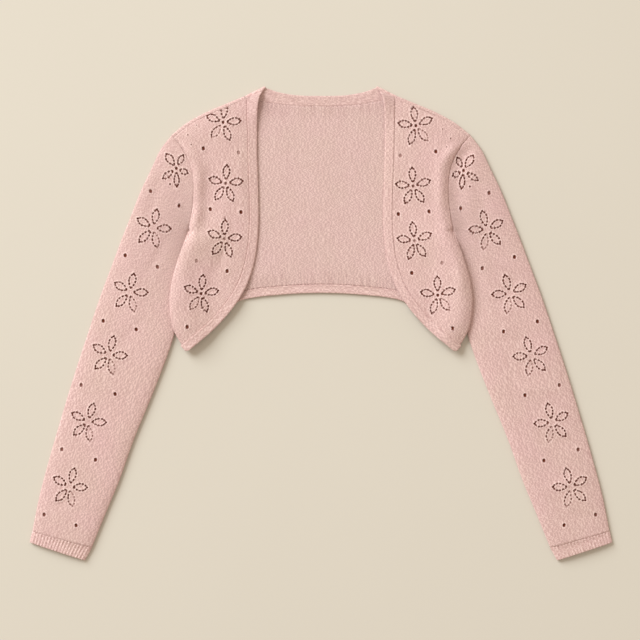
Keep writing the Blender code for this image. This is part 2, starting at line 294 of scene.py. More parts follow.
# the outline of the half at +X, in millimetres
NECK_EDGE = [Place(0, 307.8), Place(19, 307.9), Place(38, 309.2), Place(57, 313.6), Place(75.6, 320.9)]
NECK_SEAM = [Place(0, 293.8), Place(26, 294.1), Place(52, 296.2), Place(77, 301.2), Place(102.6, 307.4)]
SHOULDER = [Place(102.6, 307.4), Place(128.3, 296.8), Place(154.6, 285.6), Place(180.2, 271.5),
            Place(201.8, 254.5)]
ARMHOLE = [Place(201.8, 254.5), Place(187.7, 237.6), Place(175.8, 215), Place(171.6, 191),
           Place(172, 167), Place(174.5, 147), Place(178, 128)]
SIDE = [Place(178, 128), Place(185, 108), Place(192.5, 87), Place(199.5, 63), Place(203.6, 38),
        Place(202.6, 12), Place(197.8, -9), Place(188.6, -26.8)]
HEM_EDGE = [Place(0, 42), Place(30, 41.2), Place(60, 39), Place(88, 36), Place(112, 30),
            Place(131, 14.5), Place(148, -5), Place(164.5, -22), Place(180.8, -36.4)]
OPENING = [Place(78.3, 313.8), Place(82.6, 304.5), Place(85.2, 289), Place(86, 262), Place(85.8, 228),
           Place(84.9, 196), Place(84.1, 166), Place(84, 137), Place(86, 107), Place(91.6, 76.5),
           Place(102.2, 47.5), Place(120, 19.5), Place(146.5, -9.5), Place(181, -38.6)]
BAND_TOP_SEAM = 0.1009 + 0.30295j
NECK_FOLD = 0.8809 - 0.4733j
SLEEVE = [
    SleeveRow(201.8, 254.5, 178.3, 128.1),
    SleeveRow(216.6, 234.9, 180.9, 119.5),
    SleeveRow(229.4, 208, 183.4, 107.5),
    SleeveRow(242.2, 181, 186, 93),
    SleeveRow(254.6, 150, 187.8, 76),
    SleeveRow(268.8, 114, 188.8, 56),
    SleeveRow(282.6, 77, 189.4, 34),
    SleeveRow(297.2, 38, 192.2, 6),
    SleeveRow(314, -12, 206.4, -41),
    SleeveRow(332, -67, 229.2, -100),
    SleeveRow(349.1, -123, 251.8, -155),
    SleeveRow(365.7, -180, 271.8, -211),
    SleeveRow(379, -230, 290.9, -257),
    SleeveRow(389.2, -279.5, 308.8, -301.3),
]
CUFF_END = SleeveRow(392.6, -294.3, 318.6, -318.6)

# openwork of the half at +X: turn is in degrees, and faded names the petals that are worn shallow
FRONT_FLOWERS = [
    Flower(130.2, 270.2, 2, 1, (2,), "open"),
    Flower(126.6, 188, -2, 0.8, (), "open"),
    Flower(128.5, 113.4, 1, 0.6, (), "open"),
    Flower(159.7, 39.6, 0, 1, (2,), "open"),
]
SLEEVE_FLOWERS = [
    Flower(194.4, 208.5, 0, 1, (), "drawn in"),
    Flower(225.6, 128.3, 9, 0, (3,), "open"),
    Flower(256.8, 41.9, 10, 0, (3,), "open"),
    Flower(285, -42.6, 10, 0, (3,), "open"),
    Flower(313.4, -132.3, 11, 0, (3,), "open"),
    Flower(338.2, -219.8, 10, 0, (3,), "open"),
]
FRONT_EYELETS = [
    Eyelet(157.2, 234.8, 1, 1), Eyelet(109.4, 229.6, 0.55, 1), Eyelet(147.5, 153.8, 1, 1),
    Eyelet(106.7, 150, 1, 1), Eyelet(165.4, 83, 0.5, 1), Eyelet(124.3, 69.5, 1, 1), Eyelet(178.6, -5, 1, 1),
    Eyelet(177, 252.6, 0.7, 0.4), Eyelet(172.5, 241, 0.7, 0.35), Eyelet(166, 265.5, 0.6, 0.35),
]
SLEEVE_EYELETS = [
    Eyelet(203, 187, 0.9, 0.5),
    Eyelet(229, 178.2, 0.9, 1), Eyelet(190.4, 158, 1, 0.9), Eyelet(262.6, 91.5, 1, 1),
    Eyelet(219.4, 75.6, 0.9, 1), Eyelet(293, 4, 1, 1), Eyelet(248.4, -8.8, 1, 1),
    Eyelet(322.2, -82.4, 0.85, 1), Eyelet(276.6, -95.6, 1, 1), Eyelet(348.3, -170, 0.9, 1),
    Eyelet(302.6, -183.4, 1, 1), Eyelet(371.9, -257.6, 0.9, 1), Eyelet(328.8, -271.7, 1, 0.95),
]
PETALS = {
    "open": [Petal(94, 26.2, 8.6), Petal(20, 24.6, 9.2), Petal(-55, 26.4, 8.8), Petal(-110, 26.8, 8.4),
             Petal(172, 24.4, 9.2)],
    "drawn in": [Petal(55, 24, 8.8), Petal(-37, 23.2, 6.6), Petal(-94, 25, 6.4), Petal(-156, 17, 7),
                 Petal(115, 20.5, 6.6)],
}
# the rings of points drawn round each dash: how far out from its edge, and how many
DASH_RINGS = [Ring(-0.42, 6), Ring(0.02, 12), Ring(0.62, 12)]
# how far the openwork at -X and at +X is moved out from the middle and up, and up again for each metre up
FRONT_SHIFT = {-1: Shift(1.4, 1.1, 0), 1: Shift(-2.5, -0.4, -11.5)}
SLEEVE_SHIFT = {-1: Shift(0, 0.8, 0), 1: Shift(-2.2, -0.8, -6)}

# ridges and troughs that run down beside the armhole at -X and at +X
ARMHOLE_RIDGES = {-1: [Ridge(7, 8, 2.9), Ridge(27, 12, -1.8)],
                  1: [Ridge(10, 9, 3.3), Ridge(-12, 10, -2.3)]}
# the share of the ridges that goes on down the side, how full the armhole seam is, and the share of
# the sleeve's length over which it fills out
SIDE_RIDGE = {-1: 0.35, 1: 0.8}
SEAM_FULLNESS = {-1: 0.45, 1: 0.05}
SLEEVE_GROWTH = {-1: 0.05, 1: 0.15}

# soft troughs and ridges of the piece at -X and of the piece at +X
FRONT_CREASES = {
    -1: [Crease(-160, 205, -152, 120, 7, -1.1), Crease(-174, 170, -168, 96, 6, 0.8),
         Crease(-112, 232, -104, 150, 8, 0.7), Crease(-150, 60, -120, 112, 7, -0.7),
         Crease(-186, 62, -172, -8, 7, 0.7), Crease(-130, 285, -150, 238, 7, -0.6)],
    1: [Crease(154, 250, 160, 172, 9, 1.0), Crease(168, 168, 176, 92, 7, -0.8),
        Crease(110, 208, 102, 128, 9, -0.7), Crease(140, 74, 118, 118, 7, 0.7),
        Crease(190, 78, 178, 2, 7, 0.6), Crease(120, 290, 134, 236, 7, -0.5)],
}
SLEEVE_CREASES = {
    -1: [Crease(-212, 205, -240, 128, 8, -1.0), Crease(-205, 120, -236, 62, 7, -0.9),
         Crease(-262, 96, -246, 24, 9, 0.8), Crease(-232, 10, -282, -36, 8, -0.8),
         Crease(-300, -60, -262, -98, 9, 0.9), Crease(-288, -118, -330, -150, 8, -0.9),
         Crease(-352, -168, -306, -210, 9, 0.8), Crease(-322, -232, -368, -250, 7, -0.7)],
    1: [Crease(208, 198, 226, 126, 8, -1.0), Crease(212, 96, 250, 70, 8, 0.7),
        Crease(268, 70, 232, 14, 9, -0.8), Crease(240, -18, 296, -22, 8, -0.8),
        Crease(258, -84, 318, -92, 10, 0.9), Crease(284, -140, 340, -168, 8, -0.9),
        Crease(300, -222, 362, -206, 8, 0.8), Crease(330, -256, 380, -262, 7, -0.6)],
}
BACK_CREASES = [
    Crease(-58, 280, -50, 150, 9, 0.23), Crease(-10, 262, 4, 120, 11, 0.27),
    Crease(48, 284, 42, 190, 8, 0.2), Crease(66, 180, 34, 70, 10, 0.23), Crease(-70, 120, -22, 66, 9, 0.23),
    Crease(-140, 250, -120, 120, 12, 0.23), Crease(136, 244, 120, 100, 12, 0.23),
]
HANDS = ((-1, "left"), (1, "right"))


class ShrugSizes(bpy.types.PropertyGroup):
    """Sizes that a knitter would change."""
    stitch_relief: bpy.props.FloatProperty(
        name="Stitch relief", description="Height of the stitches above the gaps between them",
        default=0.3 * MM, min=0, unit="LENGTH")
    camera_distance: bpy.props.FloatProperty(
        name="Camera distance", description="Height of the camera above the surface",
        default=2.04, min=0.5, unit="LENGTH")
    field_width: bpy.props.FloatProperty(
        name="Field width", description="Width of the surface that the camera takes in",
        default=0.864, min=0.1, unit="LENGTH")
    sun_power: bpy.props.FloatProperty(
        name="Key light", description="Power of the soft light at the upper left",
        default=1120, min=0, unit="POWER")
    sky_strength: bpy.props.FloatProperty(
        name="Fill light", description="Strength of the even light from all round", default=0.68, min=0)


class ShrugColours(bpy.types.PropertyGroup):
    """Colours of the yarn, of the painted shade in the openwork pits, and of the surface under the shrug.
    """
    yarn: bpy.props.FloatVectorProperty(
        name="Yarn", description="Dusty pink of the yarn", subtype="COLOR",
        default=(0.82, 0.55, 0.53), size=3, min=0, max=1)
    yarn_beige: bpy.props.FloatVectorProperty(
        name="Beige of the yarn", description="Beige that the pink drifts to in patches", subtype="COLOR",
        default=(0.795, 0.563, 0.51), size=3, min=0, max=1)
    # painted shade: this dark brown is not a yarn colour; it stands for the shade down in the openwork
    # pits, where little light gets
    openwork: bpy.props.FloatVectorProperty(
        name="Openwork", description="Dark brown of the openwork holes", subtype="COLOR",
        default=(0.15, 0.042, 0.025), size=3, min=0, max=1)
    surface: bpy.props.FloatVectorProperty(
        name="Surface", description="Pale beige of what the shrug lies on", subtype="COLOR",
        default=(0.62, 0.585, 0.507), size=3, min=0, max=1)


# curves and blends

def between(a, b, t):
    return a + (b - a) * t


def ease(t):
    """0 to 1 with a soft start and end, for any t."""
    t = np.clip(t, 0, 1)
    return t * t * (3 - 2 * t)


def smooth(rows, column, at):
    """A column's value in metres at fractions of the table, on a curve through its rows."""
    values = np.array([getattr(row, column) for row in rows]) * MM
    values = np.concatenate(([2 * values[0] - values[1]], values, [2 * values[-1] - values[-2]]))
    place = np.asarray(at, float) * (len(rows) - 1)
    i = np.clip(np.floor(place).astype(int), 0, len(rows) - 2)
    t = place - i
    before, here, there, after = (values[i + k] for k in range(4))
    slope_here, slope_there = (there - before) / 2, (after - here) / 2
    return (here * (2 * t ** 3 - 3 * t ** 2 + 1) + slope_here * (t ** 3 - 2 * t ** 2 + t)
            + there * (3 * t ** 2 - 2 * t ** 3) + slope_there * (t ** 3 - t ** 2))


def along(table, at):
    return smooth(table, "x", at) + 1j * smooth(table, "y", at)


def heading(curve, at, step=0.002):
    """The unit direction in which a curve runs, in plan."""
    run = curve(np.minimum(at + step, 1)) - curve(np.maximum(at - step, 0))
    return run / abs(run)


def beside(curve, at, distance):
    """Points off a curve, to the left of the way it runs."""
    return curve(at) + 1j * heading(curve, at) * distance


def out_at(line, y):
    """How far out from the middle a line down the body lies, at a place up the body."""
    return np.interp(-y, -line.imag, line.real)


shoulder, armhole, side, opening, hem_edge = (
    partial(along, table) for table in (SHOULDER, ARMHOLE, SIDE, OPENING, HEM_EDGE))

# heights of the middle surfaces of the body

DENSE = np.linspace(0, 1, 121)
SIDE_LINE = side(DENSE)
OUTER_LINE = np.concatenate([armhole(DENSE), beside(side, DENSE[1:], -FOLD_REACH)])
SHOULDER_LINE = beside(shoulder, DENSE, -FOLD_REACH)
OPENING_LINE = opening(DENSE)
BODY_SLOPE = math.atan(BODY_CREST / BODY_SOFT)
FOLD_RISE = FOLD_RADIUS * (1 + math.cos(BODY_SLOPE))
FOLD_ARC = FOLD_RADIUS * (math.pi - BODY_SLOPE)
UNDERARM_Y = SIDE[0].y * MM


def soft(distance, reach):
    """The rise of cloth with its distance from a fold, from 0 to 1."""
    return 1 - np.exp(-np.maximum(distance, 0) / reach)


def lift(plan):
    """How far the body is raised where it lies on the sleeve's inner fold."""
    y = plan.imag
    down = ease((UNDERARM_Y - y) / (UNDERARM_Y - LIFT_FULL_Y))
    down = down * (1 - TIP_DROP * ease((TIP_DROP_FROM_Y - y) / TIP_DROP_LENGTH))
    inside = out_at(SIDE_LINE, y) - abs(plan.real)
    return BODY_LIFT * down * ease(1 - (inside - LIFT_LEVEL) / LIFT_RAMP)


def puff(plan):
    """The front's height above its folds."""
    x, y = abs(plan.real), plan.imag
    from_side = out_at(OUTER_LINE, y) - x
    from_shoulder = np.interp(x, SHOULDER_LINE.real, SHOULDER_LINE.imag) - y
    from_opening = x - out_at(OPENING_LINE, y)
    over_back = ease((y - PRESS_FROM_Y) / PRESS_RAMP)
    near = np.exp(-np.maximum(from_opening, 0) / OPENING_SOFT) * over_back
    level = BODY_CREST * soft(from_side, BODY_SOFT) * soft(from_shoulder, BODY_SOFT) * (1 - near)
    return level - OPENING_PRESS * near * soft(from_shoulder, BODY_SOFT)


def beside_armhole(plan, hand):
    """The height of the ridges and troughs beside an armhole and down the side."""
    y = plan.imag
    inside = (out_at(OUTER_LINE, y) - abs(plan.real)) / MM
    total = sum(ridge.height * np.exp(-((inside - ridge.inside) / ridge.width) ** 2)
                for ridge in ARMHOLE_RIDGES[hand])
    from_top = ease((ARMHOLE[0].y * MM - ARM_RIDGE_START - y) / ARM_RIDGE_START_RAMP)
    above = ease((y - UNDERARM_Y + ARM_RIDGE_TURN) / ARM_RIDGE_TURN_RAMP)
    full = SEAM_FULLNESS[hand] * BODY_CREST * np.exp(-abs(inside) * MM / BODY_SOFT) * above
    uneven = 1 + ARM_RIDGE_UNEVEN * np.sin(y / ARM_RIDGE_WAVE + hand)
    down_side = between(SIDE_RIDGE[hand], 1, above) * ease((y - ARM_RIDGE_END_Y) / ARM_RIDGE_END_RAMP)
    return (total * MM * uneven * down_side + full) * from_top


def creased(plan, creases):
    """The summed height of soft troughs and ridges at points in plan."""
    total = np.zeros(plan.shape)
    for crease in creases:
        start, end = (crease.x + 1j * crease.y) * MM, (crease.to_x + 1j * crease.to_y) * MM
        run = end - start
        share = ((plan - start) * run.conjugate()).real / abs(run) ** 2
        off = abs(((plan - start) * run.conjugate()).imag) / abs(run)
        ends = np.sin(np.pi * np.clip(share, 0, 1)) ** 0.7
        total += crease.height * MM * np.exp(-(off / (crease.width * MM)) ** 2) * ends
    return total


def lower(plan):
    """The height of the back's middle surface."""
    ripple = np.maximum(creased(plan, BACK_CREASES), 0)
    return WALL / 2 + lift(plan) + ripple


def upper(plan):
    """The height of the fronts' middle surface."""
    y = plan.imag
    from_side = out_at(OUTER_LINE, y) - abs(plan.real)
    eased = ease((SOFT_LIFT_TOP_Y - y) / (SOFT_LIFT_TOP_Y - LIFT_FULL_Y))
    early = eased * (1 - ease((UNDERARM_Y - y) / (UNDERARM_Y - LIFT_FULL_Y)))
    early = early * BODY_LIFT * soft(from_side, BODY_SOFT) * ease(1 - (from_side - LIFT_LEVEL) / LIFT_RAMP)
    round_edge = np.clip(-from_side, 0, EDGE_DROP_LIMIT) * ease((UNDERARM_Y - y) / EDGE_DROP_RAMP)
    drop = FOLD_RADIUS - np.sqrt(FOLD_RADIUS ** 2 - round_edge ** 2)
    return WALL / 2 + lift(plan) + FOLD_RISE + puff(plan) + early - drop


# nets of points

def lines(length, pitch, start=SEAM_ROUND, end=SEAM_ROUND):
    """Fractions of a length about a pitch apart, and closer at an end that is rounded.

    start and end are how far in the ends are rounded, or None at an end that is joined on."""
    count = max(round(length / pitch), 2)
    places = list(np.linspace(0, length, count + 1))
    for at, reach in ((0, start), (length, end)):
        if reach is not None:
            places = [p for p in places if abs(p - at) > reach * 1.4] + [at]
            places += [abs(at - reach * share) for share in EDGE_SHARES]
    return np.array(sorted(set(places))) / length


def locate(place, targets):
    """The fractions across and down of points in plan, by Newton's steps from a coarse net."""
    def plan_of(a, d):
        return place(a, d)[0]

    across, down = (part.ravel() for part in np.meshgrid(np.linspace(0, 1, 21), np.linspace(0, 1, 41)))
    net = plan_of(across, down)
    nearest = abs(net[None, :] - targets[:, None]).argmin(axis=1)
    a, d = across[nearest], down[nearest]
    tiny = 1e-5
    for _ in range(NEWTON_STEPS):
        here = plan_of(a, d)
        by_a = (plan_of(a + tiny, d) - here) / tiny
        by_d = (plan_of(a, d + tiny) - here) / tiny
        miss = targets - here
        area = (by_a.conjugate() * by_d).imag
        a = a + np.clip((miss.conjugate() * by_d).imag / area, -NEWTON_STRIDE, NEWTON_STRIDE)
        d = d + np.clip((by_a.conjugate() * miss).imag / area, -NEWTON_STRIDE, NEWTON_STRIDE)
    inside = abs(plan_of(a, d) - targets) < FOUND_WITHIN
    for share in (a, d):
        inside &= (share > CLEAR_OF_EDGE) & (share < 1 - CLEAR_OF_EDGE)
    return a[inside], d[inside]


def net_chart(place, across, down, reaches=(SEAM_ROUND,) * 4):
    """A chart on a plain net. place gives a plan, a height and a cloth point for each.

    reaches are how far in its edges are rounded, at the least and most across and down."""
    a, d = (part.ravel() for part in np.meshgrid(across, down))
    plan, height, cloth = place(a, d)
    corner = np.arange(len(a)).reshape(len(down), len(across))
    first, second = corner[:-1, :-1].ravel(), corner[:-1, 1:].ravel()
    third, fourth = corner[1:, 1:].ravel(), corner[1:, :-1].ravel()
    triangles = np.concatenate([np.stack([first, second, third], 1), np.stack([first, third, fourth], 1)])
    points = np.stack([plan.real, plan.imag, height], 1)
    zeros = np.zeros(len(a))
    return Chart(points, cloth, triangles, zeros, zeros, side_reach(a, d, across, down, reaches))


def side_reach(a, d, across, down, reaches):
    """The rounding at each point of a chart's sides, the least where two sides meet."""
    found = np.full(len(a), 1.0)
    sides = (a == across[0], a == across[-1], d == down[0], d == down[-1])
    for on_side, reach in zip(sides, reaches):
        found[on_side] = np.minimum(found[on_side], reach)
    return found


def tree_of(places, numbers=None):
    """A search tree of points in space, or of complex points in plan."""
    if np.iscomplexobj(places):
        places = np.stack([places.real, places.imag, 0 * places.real], 1)
    tree = kdtree.KDTree(len(places))
    for number, place in zip(range(len(places)) if numbers is None else numbers, places):
        tree.insert(place, number)
    tree.balance()
    return tree


def worked_chart(place, across, down, size, dashes, flowers):
    """A chart whose net is drawn finer round its flowers and eyelets."""
    a, d = (part.ravel() for part in np.meshgrid(across, down))
    on_edge = (a == across[0]) | (a == across[-1]) | (d == down[0]) | (d == down[-1])
    plan = place(a, d)[0]
    keep = np.ones(len(a), bool)
    for middle, reach in flowers:
        keep &= on_edge | (abs(plan - middle) > reach)
    extra_a, extra_d = locate(place, fine_points(dashes, flowers))
    a = np.concatenate([a[keep], extra_a])
    d = np.concatenate([d[keep], extra_d])
    flat = [Vector((x, y)) for x, y in zip(a * size[0], d * size[1])]
    out = delaunay_2d_cdt(flat, [], [], 0, 1e-9)
    origin = np.array([source[0] for source in out[3]])
    triangles = origin[np.array(out[2])]
    a_len, d_len = a[triangles] * size[0], d[triangles] * size[1]
    area = ((a_len[:, 1] - a_len[:, 0]) * (d_len[:, 2] - d_len[:, 0])
            - (a_len[:, 2] - a_len[:, 0]) * (d_len[:, 1] - d_len[:, 0]))
    triangles, area = triangles[abs(area) > NO_AREA], area[abs(area) > NO_AREA]
    triangles[area < 0] = triangles[area < 0][:, ::-1]
    plan, height, cloth = place(a, d)
    relief, hole = openwork(plan, dashes)
    points = np.stack([plan.real, plan.imag, height], 1)
    reach = side_reach(a, d, across, down, (SEAM_ROUND,) * 4)
    return Chart(points, cloth, triangles, hole, relief, reach)


# openwork

def petal_side(tip, width):
    """Half of a petal's outline along +X, from its narrow root to its rounded tip."""
    at = np.linspace(0, 1, 61)
    run = between(at, np.sin(at * np.pi / 2), 0.5)
    return between(PETAL_START, tip, run) + 0.5j * width * np.sin(np.pi * at ** 0.95)


def flower_dashes(flower, middle, size, hand, rng):
    """The dashes that draw a flower's petals, with its middle eyelet."""
    dashes = [Dash(middle, 1j, MIDDLE_LENGTH, MIDDLE_WIDTH, flower.middle)] if flower.middle else []
    for number, petal in enumerate(PETALS[flower.kind]):
        angle = math.radians(petal.turn + flower.turn + rng.uniform(-3, 3))
        tip = petal.reach * size * MM * rng.uniform(0.98, 1.02) - 1.2 * MM
        turn = complex(math.cos(angle), math.sin(angle))
        turn = turn if hand > 0 else -turn.conjugate()
        worn = number in flower.faded
        line = petal_side(tip, petal.width * size * MM)
        length = np.concatenate([[0], np.cumsum(abs(np.diff(line)))])
        count = round(length[-1] / DASH_PITCH)
        for edge in (1, -1):
            least = (0.45 if edge > 0 else 0.75) if worn else 0.88
            for step in range(count):
                at = length[-1] * (step + 0.45 + rng.uniform(-0.1, 0.1)) / (count + 0.15)
                here, ahead = (np.interp(at + past * MM, length, line.real)
                               + 1j * edge * np.interp(at + past * MM, length, line.imag)
                               for past in (0, 0.4))
                strength = rng.uniform(least, least + 0.25 if worn else 1)
                run = (ahead - here) / abs(ahead - here) * turn
                long = DASH_PITCH * DASH_SHARE * rng.uniform(0.88, 1.1)
                wide = DASH_WIDTH * rng.uniform(0.9, 1.1)
                dashes.append(Dash(middle + here * turn, run, long, wide, strength))
        strength = rng.uniform(0.5, 0.75) if worn else 1
        dashes.append(Dash(middle + tip * turn, turn, TIP_LENGTH, TIP_WIDTH, strength))
    return dashes


def worked(flowers, eyelets, shift, size, hand, seed):
    """All dashes of a piece, and the middle and reach of each place that is drawn fine."""
    rng = np.random.default_rng(seed)
    dashes, places = [], []

    def moved(x, y):
        return complex((x + shift.out) * hand, y + shift.up + shift.tilt * y * MM) * MM

    for flower in flowers:
        middle = moved(flower.x, flower.y)
        dashes += flower_dashes(flower, middle, size, hand, rng)
        places.append((middle, FLOWER_REACH + 3 * MM))
    for eyelet in eyelets:
        middle = moved(eyelet.x, eyelet.y) + complex(*rng.uniform(-0.7, 0.7, 2)) * MM
        upward = complex(0.15 * hand * rng.uniform(-1, 1), 1)
        dashes.append(Dash(middle, upward / abs(upward), EYELET_LENGTH * eyelet.size,
                           EYELET_WIDTH * eyelet.size, eyelet.strength))
        places.append((middle, EYELET_REACH))
    return dashes, places


def fine_points(dashes, places):
    """Points in plan on the dashes' rims and floors, and a fine net between them."""
    rings = [np.array([dash.middle for dash in dashes])]
    for dash in dashes:
        for ring in DASH_RINGS:
            angles = (np.arange(ring.count) + 0.5) * 2 * np.pi / ring.count
            radius = dash.width / 2 + ring.out * MM
            stretch = (dash.length - dash.width) / 2 * np.sign(np.cos(angles))
            rings.append(dash.middle + dash.heading * (stretch + radius * np.exp(1j * angles)))
    drawn = thinned(np.concatenate(rings), DRAWN_GAP)
    tree = tree_of(drawn)
    net = []
    for middle, reach in places:
        steps = int(reach / FINE_PITCH) + 1
        for row in range(-steps, steps + 1):
            for column in range(-steps, steps + 1):
                offset = (column + 0.5 * (row % 2) + 1j * row * ROW_RISE) * FINE_PITCH
                if abs(offset) < reach - FINE_PITCH / 2:
                    point = middle + offset
                    if tree.find((point.real, point.imag, 0))[2] > NET_CLEAR:
                        net.append(point)
    return np.concatenate([drawn, thinned(np.array(net), NET_GAP)])


def thinned(points, gap):
    """The points without those nearer than a gap to one before them."""
    tree = tree_of(points)
    keep = np.ones(len(points), bool)
    for i, point in enumerate(points):
        if keep[i]:
            for _, j, _ in tree.find_range((point.real, point.imag, 0), gap):
                if j > i:
                    keep[j] = False
    return points[keep]


def openwork(plan, dashes):
    """The height that openwork gives to points in plan, and its painted light: painted shade in the pits,
    and a painted highlight on the lips round them as a negative value.
    """
    relief, hole, raised = np.zeros((3, len(plan)))
    for dash in dashes:
        near = np.nonzero(abs(plan - dash.middle) < DASH_NEAR)[0]
        at = (plan[near] - dash.middle) / dash.heading
        half = (dash.length - dash.width) / 2
        beyond = np.hypot(np.maximum(abs(at.real) - half, 0), at.imag) - dash.width / 2
        for values, found in ((relief, ease(SINK_AT - beyond / SINK_RAMP)),
                              (hole, ease(DARK_AT - beyond / DARK_RAMP)),
                              (raised, np.exp(-((beyond - LIP_OUT) / LIP_REACH) ** 2))):
            values[near] = np.maximum(values[near], found * dash.strength)
    # painted light: positive where the pits are painted dark as shade, negative where the raised lips are
    # painted light as a highlight
    return raised * LIP_HEIGHT * (1 - relief) - PIT_DEPTH * relief, hole - raised * (1 - hole)


# making a piece

def joined(charts):
    """The charts as one net, with the coincident points of their edges made one.

    corners number the charts' own points, as the cloth's map is cut where charts meet."""
    points, cloth, hole, relief, reach = (
        np.concatenate([getattr(chart, part) for chart in charts])
        for part in ("points", "cloth", "hole", "relief", "reach"))
    starts = np.cumsum([0] + [len(chart.points) for chart in charts])
    corners = np.concatenate([chart.triangles + start for chart, start in zip(charts, starts)])
    loose = np.unique(rim_of(corners))
    tree = tree_of(points[loose], loose)
    same = np.arange(len(points))
    for number in loose:
        same[number] = min(found[1] for found in tree.find_range(points[number], WELD))
    welded = same[corners]
    corners = corners[(welded != welded[:, [1, 2, 0]]).all(axis=1)]
    used, welded = np.unique(same[corners], return_inverse=True)
    return points[used], hole[used], relief[used], reach[used], cloth, corners, welded.reshape(-1, 3)


def normals_of(points, triangles):
    across = points[triangles[:, 1]] - points[triangles[:, 0]]
    down = points[triangles[:, 2]] - points[triangles[:, 0]]
    faces = np.cross(across, down)
    total = np.zeros(points.shape)
    for corner in range(3):
        np.add.at(total, triangles[:, corner], faces)
    return total / np.maximum(np.linalg.norm(total, axis=1), NO_AREA)[:, None]


def rim_of(triangles):
    """The edges that only one triangle has, as pairs of points."""
    edges = np.concatenate([triangles[:, [0, 1]], triangles[:, [1, 2]], triangles[:, [2, 0]]])
    _, first, count = np.unique(np.sort(edges, axis=1), axis=0, return_index=True, return_counts=True)
    return edges[first[count == 1]]


def gap_to(points, rim):
    """The distance of each point to the nearest of some edges."""
    start, end = points[rim[:, 0]], points[rim[:, 1]]
    tree = tree_of(np.concatenate([start + (end - start) * step / RIM_STEPS for step in range(RIM_STEPS)]))
    return np.array([tree.find(point)[2] for point in points])


def rounding(points, rim, reach):
    """The share of the full wall at each point, and its distance to the nearest sewn edge.

    The share falls to nothing at an edge, within the reach of that edge."""
    share, sewn = np.ones(len(points)), np.full(len(points), SEAM_FAR)
    of_edge = reach[rim].max(axis=1)
    for edge_reach in np.unique(of_edge):
        gap = gap_to(points, rim[of_edge == edge_reach])
        share = np.minimum(share, np.sqrt(np.maximum(1 - (1 - np.clip(gap / edge_reach, 0, 1)) ** 2, 0)))
        if edge_reach == SEAM_ROUND:
            sewn = np.minimum(gap, SEAM_FAR)
    return share, sewn


def knit_piece(name, nodes, charts, materials, wall):
    """Makes the closed piece of cloth about its charts' middle surface, with relief on its upper face.

    materials are the upper face's and the other's."""
    points, hole, relief, reach, cloth, corners, triangles = joined(charts)
    normals = normals_of(points, triangles)
    if normals_of(charts[0].points, charts[0].triangles)[:, 2].mean() < 0:
        corners, triangles, normals = corners[:, ::-1], triangles[:, ::-1], -normals
    rim = rim_of(triangles)
    share, sewn = rounding(points, rim, reach)
    half = (wall / 2 * share)[:, None]
    face = points + normals * (half + (relief * np.minimum(share * RELIEF_SHARE, 1))[:, None])
    inner = points - normals * half
    is_rim = np.zeros(len(points), bool)
    is_rim[rim.ravel()] = True
    face[is_rim] = points[is_rim]
    number = np.cumsum(~is_rim) - 1 + len(points)
    number[is_rim] = np.nonzero(is_rim)[0]
    all_points = np.concatenate([face, inner[~is_rim]])
    all_points[:, 2] = np.maximum(all_points[:, 2], 0)
    mesh = triangle_mesh(name, all_points, np.concatenate([triangles, number[triangles][:, ::-1]]))
    cloth = cloth[np.concatenate([corners, corners[:, ::-1]]).ravel()]
    flat = np.stack([cloth.real, cloth.imag], 1)
    for title, places in (("Knit", flat), ("OFBake", side_by_side(flat, len(corners) * 3))):
        mesh.uv_layers.new(name=title).uv.foreach_set("vector", places.ravel().astype(np.float32))
    # the openwork attribute carries the painted shade of the pits and the painted highlight of their lips
    for title, above, below in (("openwork", hole, 0 * hole), ("sewn", sewn / MM, sewn / MM)):
        attribute = mesh.attributes.new(title, "FLOAT", "POINT")
        values = np.concatenate([above, below[~is_rim]])
        attribute.data.foreach_set("value", values.astype(np.float32))
    mesh.shade_smooth()
    for material in materials:
        mesh.materials.append(material)
    if len(materials) > 1:
        of_face = np.repeat([0, 1], len(triangles)).astype(np.int32)
        mesh.polygons.foreach_set("material_index", of_face)
    mesh.validate()
    piece = bpy.data.objects.new(name, mesh)
    bpy.context.scene.collection.objects.link(piece)
    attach(piece, BODY)
    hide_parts(*nodes)
    return piece


def triangle_mesh(name, points, triangles):
    mesh = bpy.data.meshes.new(name)
    mesh.vertices.add(len(points))
    mesh.vertices.foreach_set("co", points.ravel())
    mesh.loops.add(triangles.size)
    mesh.loops.foreach_set("vertex_index", triangles.ravel().astype(np.int32))
    mesh.polygons.add(len(triangles))
    mesh.polygons.foreach_set("loop_start", np.arange(0, triangles.size, 3, dtype=np.int32))
    mesh.update(calc_edges=True)
    return mesh


def side_by_side(flat, of_face):
    """The cloth's map scaled to fill a square, with its two faces beside each other."""
    size = np.ptp(flat, axis=0)
    places = (flat - flat.min(axis=0)) / size
    shorter = int(size[0] > size[1])
    places[:, shorter] *= MAP_HALF
    places[of_face:, shorter] += MAP_SECOND
    return MAP_MARGIN + places * (1 - 2 * MAP_MARGIN)


def mirrored(place, hand):
    """A placing function for the piece at +X, hand 1, or at -X, hand -1."""
    def placed(a, d):
        plan, height, cloth = place(a, d)
        if hand < 0:
            return -plan.conjugate(), height, -cloth.conjugate()
        return plan, height, cloth
    return placed


def with_creases(place, creases, rounded_off, hand, tubular=False):
    """A placing function with the ridges beside the armhole and with creases that fade at the edges."""
    def placed(a, d):
        plan, height, cloth = place(a, d)
        fade = ease(np.minimum(a, 1 - a) / rounded_off)
        ridges = beside_armhole(plan, hand) * (fade if tubular else 1)
        return plan, height + creased(plan, creases) * fade + ridges, cloth
    return placed


# the back and its bands

def shoulder_at(share):
    return between(END_TRIM, 1 - END_TRIM, (share - NECK_SHARE) / (1 - NECK_SHARE))


def side_at(down):
    return between(UNDERARM_TRIM, 1, 2 * down - 1)


def side_lip(at):
    return between(SIDE_LIP_TOP, SIDE_LIP, ease((at - SIDE_LIP_FROM) / SIDE_LIP_RAMP))


